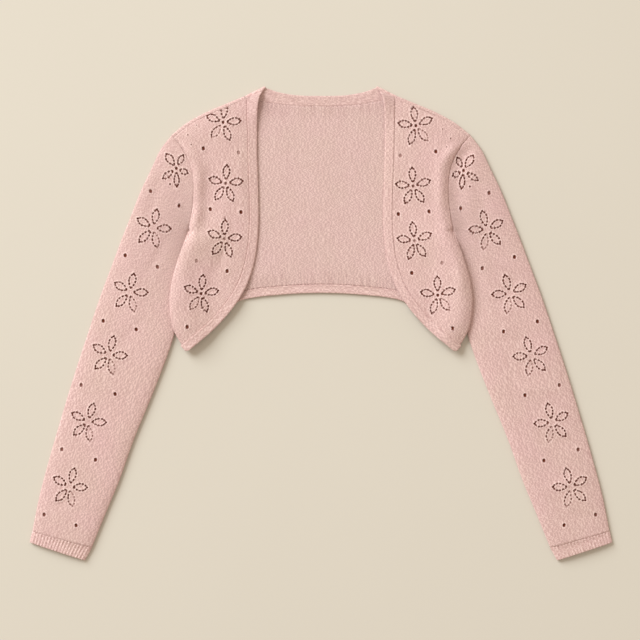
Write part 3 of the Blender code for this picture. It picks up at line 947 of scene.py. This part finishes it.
def fold_length(lip):
    """How long a fold is, round its arc and on to where its seam lies."""
    on_round = np.arcsin(np.clip((FOLD_REACH - lip) / FOLD_RADIUS, 0, 1))
    past = np.maximum(lip - FOLD_REACH, 0) + FOLD_RADIUS * math.sin(BODY_SLOPE)
    return np.where(lip < FOLD_REACH, FOLD_RADIUS * (math.pi - on_round), FOLD_ARC + past)


def neck_shrink(at):
    return NECK_FOLD * -1j * FOLD_REACH * ease(at * 2 - 1)


def neck_seam(at):
    return along(NECK_SEAM, at) + neck_shrink(at)


def neck_edge(at):
    return along(NECK_EDGE, at) + neck_shrink(at)


def back_top(share):
    neck = neck_seam(np.clip(share / NECK_SHARE, 0, 1)) - 1j * SEAM
    fold = beside(shoulder, shoulder_at(np.maximum(share, NECK_SHARE)), -FOLD_REACH)
    return np.where(share < NECK_SHARE, neck, fold)


def back_edge(down):
    """The back's edge at +X: down the armhole in its first half, then down the side fold."""
    by_armhole = beside(armhole, np.clip(2 * down, 0, 1), -SEAM / 2)
    by_side = beside(side, side_at(np.maximum(down, 0.5)), -FOLD_REACH)
    top = back_top(np.ones(np.shape(down)))
    start = between(top, beside(armhole, ARMHOLE_START, -SEAM / 2), 2 * down / ARMHOLE_START)
    by_armhole = np.where(2 * down < ARMHOLE_START, start, by_armhole)
    return np.where(down < 0.5, by_armhole, by_side)


def above_hem(at, height):
    place = beside(hem_edge, at, height)
    return np.where(at > 0, place, 1j * place.imag)


def back_hem(share):
    held = above_hem(HEM_SHARE * np.minimum(share, CORNER_SHARE), HEM_BAND + SEAM)
    corner = back_edge(np.ones(np.shape(share)))
    return between(held, corner, np.clip((share - CORNER_SHARE) / (1 - CORNER_SHARE), 0, 1))


def back_plan(share, down):
    """A point of the sheet that fills the back's four edges, for its half at +X."""
    zero, one = np.zeros(np.shape(share)), np.ones(np.shape(share))
    edge = back_edge(down)
    top_middle, hem_middle = back_top(zero), back_hem(zero)
    level = between(between(top_middle, hem_middle, down), edge, share)
    top_level = between(top_middle, back_edge(zero), share)
    hem_level = between(hem_middle, back_edge(one), share)
    return (level + (back_top(share) - top_level) * (1 - down) ** 2
            + (back_hem(share) - hem_level) * down ** 2)


def two_halves(half, share):
    """A plan over both halves: share is negative at -X."""
    plan = half(abs(share))
    return np.where(share < 0, -plan.conjugate(), plan)


def back_place(share, down):
    plan = two_halves(lambda a: back_plan(a, down), share)
    return plan, lower(plan), plan


def turned_over(base, outward, past):
    """Points past the start of a fold: round it, then back over the upper layer."""
    angle = np.minimum(past, FOLD_ARC) / FOLD_RADIUS
    over = np.maximum(past - FOLD_ARC, 0) * math.cos(BODY_SLOPE)
    plan = base + outward * (FOLD_RADIUS * np.sin(angle) - over)
    height = np.where(past <= FOLD_ARC, lower(base) + FOLD_RADIUS * (1 - np.cos(angle)), upper(plan))
    return plan, height, base + outward * past


def shoulder_flap(hand):
    def place(share, past):
        base = back_plan(share, np.zeros(np.shape(share)))
        outward = 1j * heading(shoulder, shoulder_at(share))
        return turned_over(base, outward, -past)
    return mirrored(place, hand)


def side_flap(hand):
    def place(past, down):
        base = back_plan(np.ones(np.shape(down)), down)
        at = side_at(down)
        outward = 1j * heading(side, at)
        return turned_over(base, outward, abs(past) * fold_length(side_lip(at)))
    return mirrored(place, hand)


def both_ways(half):
    """Places from 0 out, with their mirror images before them."""
    return np.concatenate([-half[:0:-1], half])


def turn_and_lip(turn, length, pitch):
    """Fractions of a flap: a share of it turns round a fold, and the rest is the lip beyond."""
    lip = turn + (1 - turn) * lines(length, pitch, None)[1:]
    return np.concatenate([np.linspace(0, turn, FOLD_STEPS), lip])


def back_charts():
    neck = NECK_SHARE * BACK_HALF
    to_neck = lines(neck, PANEL_PITCH, None) * NECK_SHARE
    past_neck = NECK_SHARE + (1 - NECK_SHARE) * lines(BACK_HALF - neck, PANEL_PITCH)
    shares = both_ways(np.concatenate([to_neck[:-1], past_neck]))
    upper_half = lines(BACK_LENGTH / 2, PANEL_PITCH) / 2
    lower_half = 0.5 + upper_half
    charts = [net_chart(back_place, shares, np.concatenate([upper_half[:-1], lower_half]))]
    lip = SHOULDER_LIP - FOLD_REACH + FOLD_RADIUS * math.sin(BODY_SLOPE)
    turn = np.linspace(0, FOLD_ARC, FOLD_STEPS + 1)
    pasts = np.concatenate([turn[:-1], FOLD_ARC + lip * lines(lip, LIP_PITCH, None)])
    side_lines = turn_and_lip(SIDE_TURN, SIDE_FLAP, LIP_PITCH)
    for hand in (1, -1):
        charts.append(flipped_net(shoulder_flap(hand), past_neck, -pasts[::-1], hand))
        charts.append(flipped_net(side_flap(hand), side_lines, lower_half, hand))
    return charts


def flipped_net(place, across, down, hand, reaches=(SEAM_ROUND,) * 4):
    """A plain chart whose triangles face as those at +X do, on either hand."""
    chart = net_chart(place, across, down, reaches)
    triangles = chart.triangles[:, ::-1] if hand < 0 else chart.triangles
    return chart._replace(triangles=triangles)


def band_net(chart, across, width):
    """A band's chart with a low ridge along the edge that is sewn, its last across."""
    from_seam = (1 - np.tile(across, len(chart.points) // len(across))) * width
    return chart._replace(relief=RIDGE_HEIGHT * np.exp(-((from_seam - RIDGE_IN) / RIDGE_REACH) ** 2))


def neck_band_charts():
    across = lines(NECK_BAND, BAND_PITCH, BAND_ROUND)
    lengths = both_ways(lines(NECK_HALF, PANEL_PITCH, None, None))
    rounded = (BAND_ROUND, SEAM_ROUND, SEAM_ROUND, SEAM_ROUND)

    def flat(a, at):
        plan = two_halves(lambda half: between(neck_edge(half), neck_seam(half), a), at)
        return plan, lower(plan), at * NECK_HALF + 1j * a * NECK_BAND

    def turn(a, past):
        one = np.ones(np.shape(a))
        base = between(neck_edge(one), neck_seam(one), a)
        angle = np.minimum(past / NECK_TURN, 1) * math.pi
        bent = base + 1j * NECK_FOLD * FOLD_RADIUS * np.sin(angle)
        over = np.maximum(past - NECK_TURN, 0) / (1 - NECK_TURN)
        plan = between(bent, band_top(a), over)
        layers = (upper(plan) - lower(plan) - 2 * FOLD_RADIUS) * over
        height = lower(base) + FOLD_RADIUS * (1 - np.cos(angle)) + layers
        return plan, height, NECK_HALF + past * NECK_FLAP_CLOTH + 1j * a * NECK_BAND

    charts = [band_net(net_chart(flat, across, lengths, rounded), across, NECK_BAND)]
    turns = turn_and_lip(NECK_TURN, NECK_FLAP, NECK_FLAP_PITCH)
    for hand in (1, -1):
        charts.append(flipped_net(mirrored(turn, hand), across, turns, hand, rounded))
    return charts


def hem_band_charts():
    across = lines(HEM_BAND, BAND_PITCH, BAND_ROUND)
    lengths = both_ways(lines(HEM_HALF, PANEL_PITCH, None, EDGE_ROUND))
    rounded = (BAND_ROUND, SEAM_ROUND, EDGE_ROUND, EDGE_ROUND)

    def place(a, at):
        plan = two_halves(lambda half: above_hem(half, HEM_BAND * a), at)
        roll = HEM_ROLL * (1 - a) ** 2 * ease((1 - abs(at)) / HEM_ROLL_END)
        return plan, BAND_WALL / 2 + lift(plan) + roll, at * HEM_HALF + 1j * a * HEM_BAND

    return [band_net(net_chart(place, across, lengths, rounded), across, HEM_BAND)]


# the fronts and their bands

def band_top(across, past=0):
    return between(opening(0), BAND_TOP_SEAM, across) - 1j * NECK_FOLD * past


def band_plan(across, down, past=0):
    """A point of the front band: across is 0 at the opening and 1 at the seam."""
    place = beside(opening, down, FRONT_BAND * across + past)
    square = beside(opening, 0, FRONT_BAND * across + past)
    fade = np.maximum(1 - down, 0) ** BAND_TOP_FADE
    tip = TIP_ROUND * np.maximum(1 - 2 * across, 0) ** 3
    tip = tip * np.maximum((down - TIP_FROM) / (1 - TIP_FROM), 0) ** 2
    return place + (band_top(across, SEAM) + past - square) * fade - heading(opening, down) * tip


def front_edge(down):
    by_armhole = beside(armhole, between(LIP_ON_ARMHOLE, 1, np.clip(2 * down, 0, 1)), -SEAM / 2)
    at = np.minimum(side_at(np.maximum(down, 0.5)), FRONT_END)
    return np.where(down < 0.5, by_armhole, beside(side, at, -side_lip(at) - SEAM))


def front_plan(across, down):
    down = down * FRONT_END
    level = between(band_plan(1, down, BAND_GAP), front_edge(down), across)
    corner = band_plan(1, 0, BAND_GAP)
    top = beside(shoulder, between(END_TRIM, 1 - END_TRIM, across), -SHOULDER_LIP - SEAM)
    to_corner = corner - beside(shoulder, END_TRIM, -SHOULDER_LIP - SEAM)
    top = top + to_corner * (1 - across) ** SHOULDER_CORNER_FADE
    top_level = between(corner, front_edge(0 * across), across)
    return level + (top - top_level) * np.maximum(1 - down, 0) ** SHOULDER_FADE


def front_place(across, down):
    plan = front_plan(across, down)
    return plan, upper(plan), plan


def front_charts(hand):
    dashes, places = worked(FRONT_FLOWERS, FRONT_EYELETS, FRONT_SHIFT[hand], 1, hand, FRONT_SEED + hand)
    place = with_creases(mirrored(front_place, hand), FRONT_CREASES[hand], FRONT_CREASE_FADE, hand)
    across, down = lines(FRONT_WIDTH, PANEL_PITCH), lines(FRONT_LENGTH, PANEL_PITCH)
    return [worked_chart(place, across, down, (FRONT_WIDTH, FRONT_LENGTH), dashes, places)]


def front_band_charts(hand):
    across = lines(FRONT_BAND, BAND_PITCH, BAND_ROUND)
    down = lines(FRONT_BAND_LENGTH, PANEL_PITCH, SEAM_ROUND, EDGE_ROUND)
    rounded = (BAND_ROUND, SEAM_ROUND, SEAM_ROUND, EDGE_ROUND)

    def place(a, d):
        plan = band_plan(a, d)
        hump = NECK_ROLL * np.exp(-((plan.imag - NECK_ROLL_Y) / NECK_ROLL_REACH) ** 2)
        roll = (EDGE_ROLL * ease(d / EDGE_ROLL_TOP) + hump * ease(d / NECK_ROLL_TOP)) * (1 - a)
        height = upper(plan) + roll + (BAND_WALL - WALL) / 2
        return plan, height, d * FRONT_BAND_LENGTH + 1j * a * FRONT_BAND

    return [band_net(net_chart(mirrored(place, hand), across, down, rounded), across, FRONT_BAND)]


# the sleeves and cuffs

def sleeve_ends(down):
    outer = smooth(SLEEVE, "outer_x", down) + 1j * smooth(SLEEVE, "outer_y", down)
    inner = smooth(SLEEVE, "inner_x", down) + 1j * smooth(SLEEVE, "inner_y", down)
    return outer, inner


def sleeve_plan(across, down):
    """A point of the sleeve: across is 0 at the outer fold and 1 at the inner."""
    bow = beside(armhole, across, SEAM / 2) - between(*sleeve_ends(0), across)
    return between(*sleeve_ends(down), across) + bow * np.maximum(1 - down, 0) ** BOW_FADE


def cuff_plan(across, down):
    start = between(*sleeve_ends(1), across)
    end = between((CUFF_END.outer_x + 1j * CUFF_END.outer_y) * MM,
                  (CUFF_END.inner_x + 1j * CUFF_END.inner_y) * MM, across)
    return between(start, end, between(SEAM / abs(end - start), 1, down))


def sleeve_softness(down):
    """How far in the cloth takes to rise from the outer fold and from the inner fold.

    The inner fold is soft where the front's tip lies on it."""
    return OUTER_SOFT, between(COVERED_SOFT, INNER_SOFT, ease((down - COVERED_TO) / COVERED_RAMP))


def sleeve_growth(hand):
    return lambda down: soft(down, SLEEVE_GROWTH[hand] / 2.5)


def tube(plan_of, growth_of, softness_of, cloth_length):
    """The placing functions of a flattened tube's four stretches, round from its top."""
    def shape(down):
        outer, inner = plan_of(0 * down, down), plan_of(0 * down + 1, down)
        width = abs(inner - outer)
        crest = SLEEVE_CREST * growth_of(down)
        reaches = softness_of(down)
        slopes = [np.arctan(crest / reach) for reach in reaches]
        return outer, inner, width, crest, reaches, slopes

    def start_of(width, slope):
        return (FOLD_REACH - FOLD_RADIUS * np.sin(slope)) / width

    def top(a, down):
        _, _, width, crest, reaches, slopes = shape(down)
        low, high = start_of(width, slopes[0]), 1 - start_of(width, slopes[1])
        across = between(low, high, a)
        from_outer, from_inner = (across - low) * width, (high - across) * width
        edge_rise = between(*(FOLD_RADIUS * (1 + np.cos(slope)) for slope in slopes), a)
        rise = crest * soft(from_outer, reaches[0]) * soft(from_inner, reaches[1])
        return (plan_of(across, down), WALL / 2 + edge_rise + rise,
                cloth_point((across - 0.5) * width, down))

    def cloth_point(out, down):
        return out - 1j * down * cloth_length

    def under(a, down):
        width = shape(down)[2]
        across = between(1 - FOLD_REACH / width, FOLD_REACH / width, a)
        return (plan_of(across, down), np.full(np.shape(a), WALL / 2),
                cloth_point(width * (1.5 - across) + math.pi * FOLD_RADIUS, down))

    def fold(inner_side):
        def place(a, down):
            outer, inner, width, _, _, slopes = shape(down)
            slope = slopes[1] if inner_side else slopes[0]
            tip, other = (inner, outer) if inner_side else (outer, inner)
            outward = (tip - other) / width
            share, top_share = FOLD_REACH / width, start_of(width, slope)
            turn = 1 - a if inner_side else a
            if inner_side:
                share, top_share = 1 - share, 1 - top_share
            below, above = plan_of(share, down), plan_of(top_share, down)
            angle = (math.pi - slope) * turn
            out = outward * FOLD_RADIUS
            plan = below + out * np.sin(angle) + (above - below - out * np.sin(slope)) * turn
            height = WALL / 2 + FOLD_RADIUS * (1 - np.cos(angle))
            span = width / 2 + a * math.pi * FOLD_RADIUS
            if not inner_side:
                span = span + width + math.pi * FOLD_RADIUS
            return plan, height, cloth_point(span, down)
        return place
    return top, fold(True), under, fold(False)


def sleeve_charts(hand):
    top, inner_fold, under, outer_fold = tube(
        sleeve_plan, sleeve_growth(hand), sleeve_softness, SLEEVE_LENGTH)
    dashes, places = worked(SLEEVE_FLOWERS, SLEEVE_EYELETS, SLEEVE_SHIFT[hand], SLEEVE_FLOWER_SIZE, hand,
                            SLEEVE_SEED + hand)
    down = lines(SLEEVE_LENGTH, SLEEVE_PITCH)
    across = lines(SLEEVE_WIDTH, SLEEVE_PITCH, None, None)
    place = with_creases(mirrored(top, hand), SLEEVE_CREASES[hand], SLEEVE_CREASE_FADE, hand, True)
    charts = [worked_chart(place, across, down, (SLEEVE_WIDTH, SLEEVE_LENGTH), dashes, places)]
    turn = np.linspace(0, 1, FOLD_STEPS + 1)
    plain = lines(SLEEVE_WIDTH, PLAIN_PITCH, None, None)
    for stretch, steps in ((inner_fold, turn), (under, plain), (outer_fold, turn)):
        charts.append(net_chart(mirrored(stretch, hand), steps, down))
    return charts


def cuff_growth(down):
    return 1 - CUFF_DROP * ease(down / CUFF_DROP_LENGTH)


def cuff_softness(down):
    return OUTER_SOFT, OUTER_SOFT


def cuff_charts(hand):
    """The cuff's four stretches: ribs across the two faces, and one rib round each fold."""
    down = lines(CUFF_LENGTH, CUFF_PITCH, SEAM_ROUND, EDGE_ROUND)
    rounded = (SEAM_ROUND, SEAM_ROUND, SEAM_ROUND, EDGE_ROUND)
    stretches = tube(cuff_plan, cuff_growth, cuff_softness, CUFF_LENGTH)
    charts, before = [], 0
    for stretch, ribs in zip(stretches, (RIBS, 1, RIBS, 1)):
        steps = np.linspace(0, 1, ribs * RIB_STEPS + 1)
        chart = net_chart(mirrored(stretch, hand), steps, down, rounded)
        phase = np.tile(steps, len(down)) * ribs
        wave = 0.5 + 0.5 * np.cos(2 * np.pi * (phase + 0.5))
        cloth = (phase + before) * RIB_PITCH - 1j * np.repeat(down, len(steps)) * CUFF_LENGTH
        charts.append(chart._replace(relief=RIB_HEIGHT * (wave - RIB_MIDDLE), cloth=cloth))
        before += ribs
    return charts


# materials

def arithmetic(operation, reflected=False):
    """A method of Socket that adds one Math node, with the socket last where it is reflected."""
    def method(self, *others):
        values = (*others, self) if reflected else (self, *others)
        return self.shading.node("ShaderNodeMath", {"operation": operation}, values)
    return method


class Socket:
    """A node's output, on which arithmetic adds Math nodes."""

    def __init__(self, shading, output):
        self.shading, self.output = shading, output

    __add__ = __radd__ = arithmetic("ADD")
    __mul__ = __rmul__ = arithmetic("MULTIPLY")
    __sub__, __rsub__ = arithmetic("SUBTRACT"), arithmetic("SUBTRACT", True)
    __truediv__, __rtruediv__ = arithmetic("DIVIDE"), arithmetic("DIVIDE", True)
    __pow__, __rpow__ = arithmetic("POWER"), arithmetic("POWER", True)
    abs, floor, fract, sine = map(arithmetic, ("ABSOLUTE", "FLOOR", "FRACT", "SINE"))
    at_least, at_most, above = map(arithmetic, ("MAXIMUM", "MINIMUM", "GREATER_THAN"))

    def clamp(self):
        return self.at_least(0).at_most(1)


class Shading:
    """The nodes of one material."""

    def __init__(self, name):
        self.material = bpy.data.materials.new(name)
        self.material.use_nodes = True
        self.tree = self.material.node_tree
        self.shader = self.tree.nodes["Principled BSDF"]

    def node(self, kind, settings, sockets=(), output=0):
        """Adds a node: its settings first, then values or links for its sockets."""
        made = self.tree.nodes.new(kind)
        for name, value in settings.items():
            setattr(made, name, value)
        pairs = sockets.items() if isinstance(sockets, dict) else enumerate(sockets)
        for name, value in pairs:
            self.put(made, name, value)
        return Socket(self, made.outputs[output])

    def put(self, node, name, value):
        """Sets a node's socket to a constant, or links a varying value to it."""
        if isinstance(value, Socket):
            self.tree.links.new(value.output, node.inputs[name])
        else:
            node.inputs[name].default_value = value

    def feed(self, **values):
        """Sets or links sockets of the shader; an underscore in a name stands for a space."""
        for name, value in values.items():
            self.put(self.shader, name.replace("_", " "), value)

    def attribute(self, name):
        return self.node("ShaderNodeAttribute", {"attribute_name": name}, (), output="Fac")

    def noise(self, vector, scale, detail=2, roughness=0.5):
        return self.node("ShaderNodeTexNoise", {}, {"Vector": vector, "Scale": scale, "Detail": detail,
                                                    "Roughness": roughness})

    def random(self, column, row, layer):
        """A random value from 0 to 1 for each cell of a net."""
        cell = self.node("ShaderNodeCombineXYZ", {}, (column, row, layer))
        return self.node("ShaderNodeTexWhiteNoise", {"noise_dimensions": "3D"}, {"Vector": cell})

    def mix(self, factor, first, second):
        return self.node("ShaderNodeMix", {"data_type": "RGBA", "blend_type": "MIX"},
                         {0: factor, 6: first, 7: second}, output=2)

    def times(self, colour, *factors):
        """A colour with its red, green and blue each multiplied by a factor."""
        grey = self.node("ShaderNodeCombineXYZ", {}, factors)
        return self.node("ShaderNodeVectorMath", {"operation": "MULTIPLY"}, (colour, grey))


def off_middle(place):
    """How far a place is from the middle of its cell, from 0 there to 1 at the cell's edges."""
    return (place.fract() - 0.5).abs() * 2


def stitches(shading, across, along_wale, wale, course):
    """Plain knit: its height, 0 in the gaps and 1 on the yarn, its random tone and its dimples."""
    column = across / wale
    from_middle = off_middle(column)
    leg = (from_middle * math.pi).sine()
    row = along_wale / course + from_middle * 0.75
    bead = off_middle(row)
    height = leg ** 0.7 * ((1 - bead * bead) * 0.75 + 0.25)
    tone = shading.random(column.floor(), row.floor(), 0.0)
    return height, tone, dimples(shading, column.floor(), row.floor(), tone)


def purls(shading, across, along_wale, wale, course):
    """The knit's back, rows of interlocked bumps: its height, its random tone and its dimples."""
    row = along_wale / (course * 0.75)
    shifted = across / wale + (row.floor() * 0.5).fract()
    from_middle = off_middle(shifted)
    height = (1 - from_middle * from_middle) * (row.fract() * math.pi).sine()
    tone = shading.random(shifted.floor(), row.floor(), 0.5)
    return height, tone, dimples(shading, shifted.floor(), row.floor(), tone)


def dimples(shading, column, row, tone):
    """The depth of the dimples, which only darkens the colour as painted shade: one of each two stitches
    side by side, chosen at random.
    """
    pair = column * 0.5
    picked = shading.random(pair.floor(), row, 7.0).above(0.5)
    return (pair.fract() * 2 - picked).abs() * (0.3 + tone * 0.7)


def knit_material(name, colours, sizes, wale=WALE, course=COURSE, purl=False, rib=False, sideways=False,
                  tint=1.0):
    shading = Shading(name)
    uv = shading.node("ShaderNodeUVMap", {"uv_map": "Knit"})
    across, up = (shading.node("ShaderNodeSeparateXYZ", {}, (uv,), output=axis) for axis in (0, 1))
    if sideways:
        across, up = up, across
    place = shading.node("ShaderNodeTexCoord", {}, (), output="Object")
    wobble = (shading.noise(place, WOBBLE_SCALE) - 0.5) * WOBBLE
    across, up = across + wobble, up + wobble
    height, tone, dimple_shade = (purls if purl else stitches)(shading, across, up, wale, course)

    # the colour drifts in patches; the gaps and dimples are darkened as painted shade, and clouds and
    # streaks make the tone uneven
    patches = shading.noise(place, PATCH_SCALE, 3, 0.55)
    drift = ((patches - 0.5) * 2 + 0.5).clamp()
    colour = shading.mix(drift, (*colours.yarn, 1), (*colours.yarn_beige, 1))
    cloudy = shading.noise(place, CLOUD_SCALE, 3, 0.6)
    streak_at = shading.node("ShaderNodeCombineXYZ", {}, (across / wale, up * STREAK_SCALE, 0.0))
    streaks = shading.noise(streak_at, 1, 2, 0.6)
    pit_shade_lip_light, sewn = shading.attribute("openwork"), shading.attribute("sewn")
    gap = (1 - height).clamp() ** 3
    broken = ((shading.noise(place, THREAD_SCALE, 1) - 0.5) * 9).clamp()
    thread = (1 - ((sewn - 0.7) / 0.7).abs()).clamp() * broken
    # painted shade: the colour is darkened in the gaps between stitches and in the dimples
    shade = 1 - gap * GAP_SHADE - thread * (0.45 if purl else 0.16) - dimple_shade * SPECK_SHADE
    shade = shade * (0.93 + tone * 0.18)
    if purl:
        drawn = shading.node("ShaderNodeTexWhiteNoise", {"noise_dimensions": "1D"},
                             {"W": (across / wale).floor()})
        length = (drawn * DRAWN_MORE + DRAWN_LEAST - sewn) / DRAWN_RAMP
        shade = shade * (1 - length.clamp() * drawn.above(0.5) * DRAWN_SHADE)
    if rib:
        # painted shade: the colour darkens in the grooves between the ribs
        groove = (across / RIB_PITCH * 2 * math.pi + math.pi / 2).sine() * 0.5 + 0.5
        shade = shade * (1.06 - groove * 0.09)
    shade = shade * (0.94 + cloudy * 0.07 + streaks * (0.015 if purl else 0.03))
    # painted highlight: the yarn is lightened on the raised lips round the openwork
    shade = (shade * (1 + (0 - pit_shade_lip_light).clamp() * 0.3)).at_most(1.25)

    # the gaps are browner and the lit yarn is creamier, as light is passed on between the threads
    deep = shade ** DEEP_POWER * (tint * DEEP_FACTOR)
    colour = shading.times(colour, shade ** RED_POWER * RED_FACTOR, deep, deep)
    fuzz = shading.noise(place, FUZZ_SCALE)
    bump = shading.node("ShaderNodeBump", {}, {"Strength": 1, "Distance": sizes.stitch_relief,
                                               "Height": height + fuzz * 0.35})
    shading.feed(Base_Color=colour, Normal=bump, Roughness=0.88, Specular_IOR_Level=0.2,
                 Sheen_Weight=0.3, Sheen_Roughness=0.45, Sheen_Tint=(1, 0.86, 0.82, 1))
    # painted shade: the pits take a dark brown shader without sheen, standing for the shade inside them
    shadow = shading.node("ShaderNodeBsdfPrincipled", {}, {
        "Base Color": (*colours.openwork, 1), "Roughness": 1, "Specular IOR Level": 0})
    yarn = Socket(shading, shading.shader.outputs[0])
    both = shading.node("ShaderNodeMixShader", {}, (pit_shade_lip_light.clamp(), yarn, shadow))
    shading.put(shading.tree.nodes["Material Output"], 0, both)
    return shading.material


def surface_material(colours):
    shading = Shading("Pale beige surface")
    place = shading.node("ShaderNodeTexCoord", {}, (), output="Object")
    grain = shading.noise(place, 3, 3, 0.5)
    shade = 0.985 + grain * 0.03
    colour = shading.times(colours.surface, shade, shade, shade)
    shading.feed(Base_Color=colour, Roughness=0.9, Specular_IOR_Level=0.1)
    return shading.material


# what each kind of knit asks of knit_material
KINDS = {
    "plain": {},
    "purl": {"purl": True, "tint": 1.04},
    "rib": {"rib": True, "wale": RIB_PITCH / 2},
    "band": {"sideways": True, "wale": BAND_WALE, "course": BAND_COURSE},
}


# operators

class Step(bpy.types.Operator):
    """A step in making the shrug"""
    bl_options = {"REGISTER", "UNDO"}

    def knit(self, context, name, nodes, charts, slot, kind, wall=WALL):
        """Makes a piece in one kind of knit, or in the kinds of its upper face and its other."""
        sizes, colours = context.scene.shrug_sizes, context.scene.shrug_colours
        materials = []
        for each in kind.split():
            title = "Dusty pink " + each + " knit"
            materials.append(bpy.data.materials.get(title)
                             or knit_material(title, colours, sizes, **KINDS[each]))
        return knit_piece(name, nodes, charts, materials, wall)


class SHRUG_OT_back(Step):
    """Knit the back panel, seen inside out, with its lips over the shoulder and side folds"""
    bl_idname = "shrug.back"
    bl_label = "Back panel"

    def execute(self, context):
        piece = self.knit(context, "knit_back", ["back"], back_charts(), "panel_knit", kind="purl plain")
        return {"FINISHED"}


class SHRUG_OT_neck_band(Step):
    """Knit the band round the back of the neck"""
    bl_idname = "shrug.neck_band"
    bl_label = "Neck band"

    def execute(self, context):
        piece = self.knit(context, "knit_neck_band", ["neck_band"], neck_band_charts(), "band_knit",
                          kind="band")
        return {"FINISHED"}


class SHRUG_OT_hem_band(Step):
    """Knit the band along the back hem, out to the two tips"""
    bl_idname = "shrug.hem_band"
    bl_label = "Hem band"

    def execute(self, context):
        piece = self.knit(context, "knit_hem_band", ["hem_band"], hem_band_charts(), "band_knit",
                          kind="band", wall=BAND_WALL)
        return {"FINISHED"}


class SHRUG_OT_fronts(Step):
    """Knit the two front panels with their openwork flowers"""
    bl_idname = "shrug.fronts"
    bl_label = "Front panels"

    def execute(self, context):
        for hand, name in HANDS:
            piece = self.knit(context, "knit_front_" + name, ["front_" + name], front_charts(hand),
                              "panel_knit", kind="plain")
        return {"FINISHED"}


class SHRUG_OT_front_bands(Step):
    """Knit the bands down the two front openings"""
    bl_idname = "shrug.front_bands"
    bl_label = "Front bands"

    def execute(self, context):
        for hand, name in HANDS:
            piece = self.knit(context, "knit_front_band_" + name, ["front_band_" + name],
                              front_band_charts(hand), "band_knit", kind="band", wall=BAND_WALL)
        return {"FINISHED"}


class SHRUG_OT_sleeves(Step):
    """Knit the two sleeves, each a flattened tube with openwork flowers on its upper side"""
    bl_idname = "shrug.sleeves"
    bl_label = "Sleeves"

    def execute(self, context):
        for hand, name in HANDS:
            piece = self.knit(context, "knit_sleeve_" + name, ["sleeve_" + name], sleeve_charts(hand),
                              "panel_knit", kind="plain")
        return {"FINISHED"}


class SHRUG_OT_cuffs(Step):
    """Knit the two ribbed cuffs"""
    bl_idname = "shrug.cuffs"
    bl_label = "Ribbed cuffs"

    def execute(self, context):
        for hand, name in HANDS:
            piece = self.knit(context, "knit_cuff_" + name, ["cuff_" + name], cuff_charts(hand), "rib_knit",
                              kind="rib")
        return {"FINISHED"}


class SHRUG_OT_stage(Step):
    """Set the pale surface, the soft light and the camera straight above"""
    bl_idname = "shrug.stage"
    bl_label = "Stage"

    def execute(self, context):
        sizes, colours = context.scene.shrug_sizes, context.scene.shrug_colours
        middle = Vector(((CAD_BOX[0][0] + CAD_BOX[1][0]) / 2, 0, 0)) + Vector(LOOK_OFFSET)
        bpy.ops.mesh.primitive_plane_add(size=FLOOR_SIZE, location=(0, 0, -FLOOR_BELOW))
        floor = context.object
        floor.name = "floor"
        bpy.ops.object.transform_apply(location=True)
        floor.data.materials.append(surface_material(colours))
        key = add_area(context, "key light", KEY_PLACE, middle, KEY_SIZE, sizes.sun_power)
        key.data.color = KEY_TINT
        world = bpy.data.worlds.new("Even light")
        world.use_nodes = True
        background = world.node_tree.nodes["Background"]
        background.inputs["Color"].default_value = SKY_TINT
        background.inputs["Strength"].default_value = sizes.sky_strength
        context.scene.world = world
        context.scene.view_settings.view_transform = "Standard"
        camera = bpy.data.objects.new("camera", bpy.data.cameras.new("camera"))
        context.scene.collection.objects.link(camera)
        camera.location = middle + Vector((0, 0, sizes.camera_distance))
        camera.data.lens = sizes.camera_distance / sizes.field_width * camera.data.sensor_width
        camera.data.clip_end = 20
        context.scene.camera = camera
        return {"FINISHED"}


def add_area(context, name, place, target, size, power):
    light = bpy.data.objects.new(name, bpy.data.lights.new(name, "AREA"))
    context.scene.collection.objects.link(light)
    light.data.size = size
    light.data.energy = power
    light.location = place
    light.rotation_euler = (target - Vector(place)).to_track_quat("-Z", "Y").to_euler()
    return light


class SHRUG_PT_panel(bpy.types.Panel):
    """Lists the steps, their sizes and colours"""
    bl_idname = "SHRUG_PT_panel"
    bl_label = "Knitted shrug"
    bl_space_type = "VIEW_3D"
    bl_region_type = "UI"
    bl_category = "Shrug"

    def draw(self, context):
        for group in (context.scene.shrug_sizes, context.scene.shrug_colours):
            for name in group.__annotations__:
                self.layout.prop(group, name)
        for step in STEPS:
            self.layout.operator(step.bl_idname)


STEPS = (SHRUG_OT_stage, SHRUG_OT_back, SHRUG_OT_neck_band, SHRUG_OT_hem_band, SHRUG_OT_fronts,
         SHRUG_OT_front_bands, SHRUG_OT_sleeves, SHRUG_OT_cuffs)
CLASSES = (ShrugSizes, ShrugColours, *STEPS, SHRUG_PT_panel)


def register():
    for item in CLASSES:
        bpy.utils.register_class(item)
    bpy.types.Scene.shrug_sizes = bpy.props.PointerProperty(type=ShrugSizes)
    bpy.types.Scene.shrug_colours = bpy.props.PointerProperty(type=ShrugColours)


def unregister():
    del bpy.types.Scene.shrug_colours
    del bpy.types.Scene.shrug_sizes
    for item in reversed(CLASSES):
        bpy.utils.unregister_class(item)


def main():
    register()
    bpy.ops.shrug.stage()
    bpy.ops.shrug.back()
    bpy.ops.shrug.neck_band()
    bpy.ops.shrug.hem_band()
    bpy.ops.shrug.fronts()
    bpy.ops.shrug.front_bands()
    bpy.ops.shrug.sleeves()
    bpy.ops.shrug.cuffs()


if __name__ == "__main__":
    main()
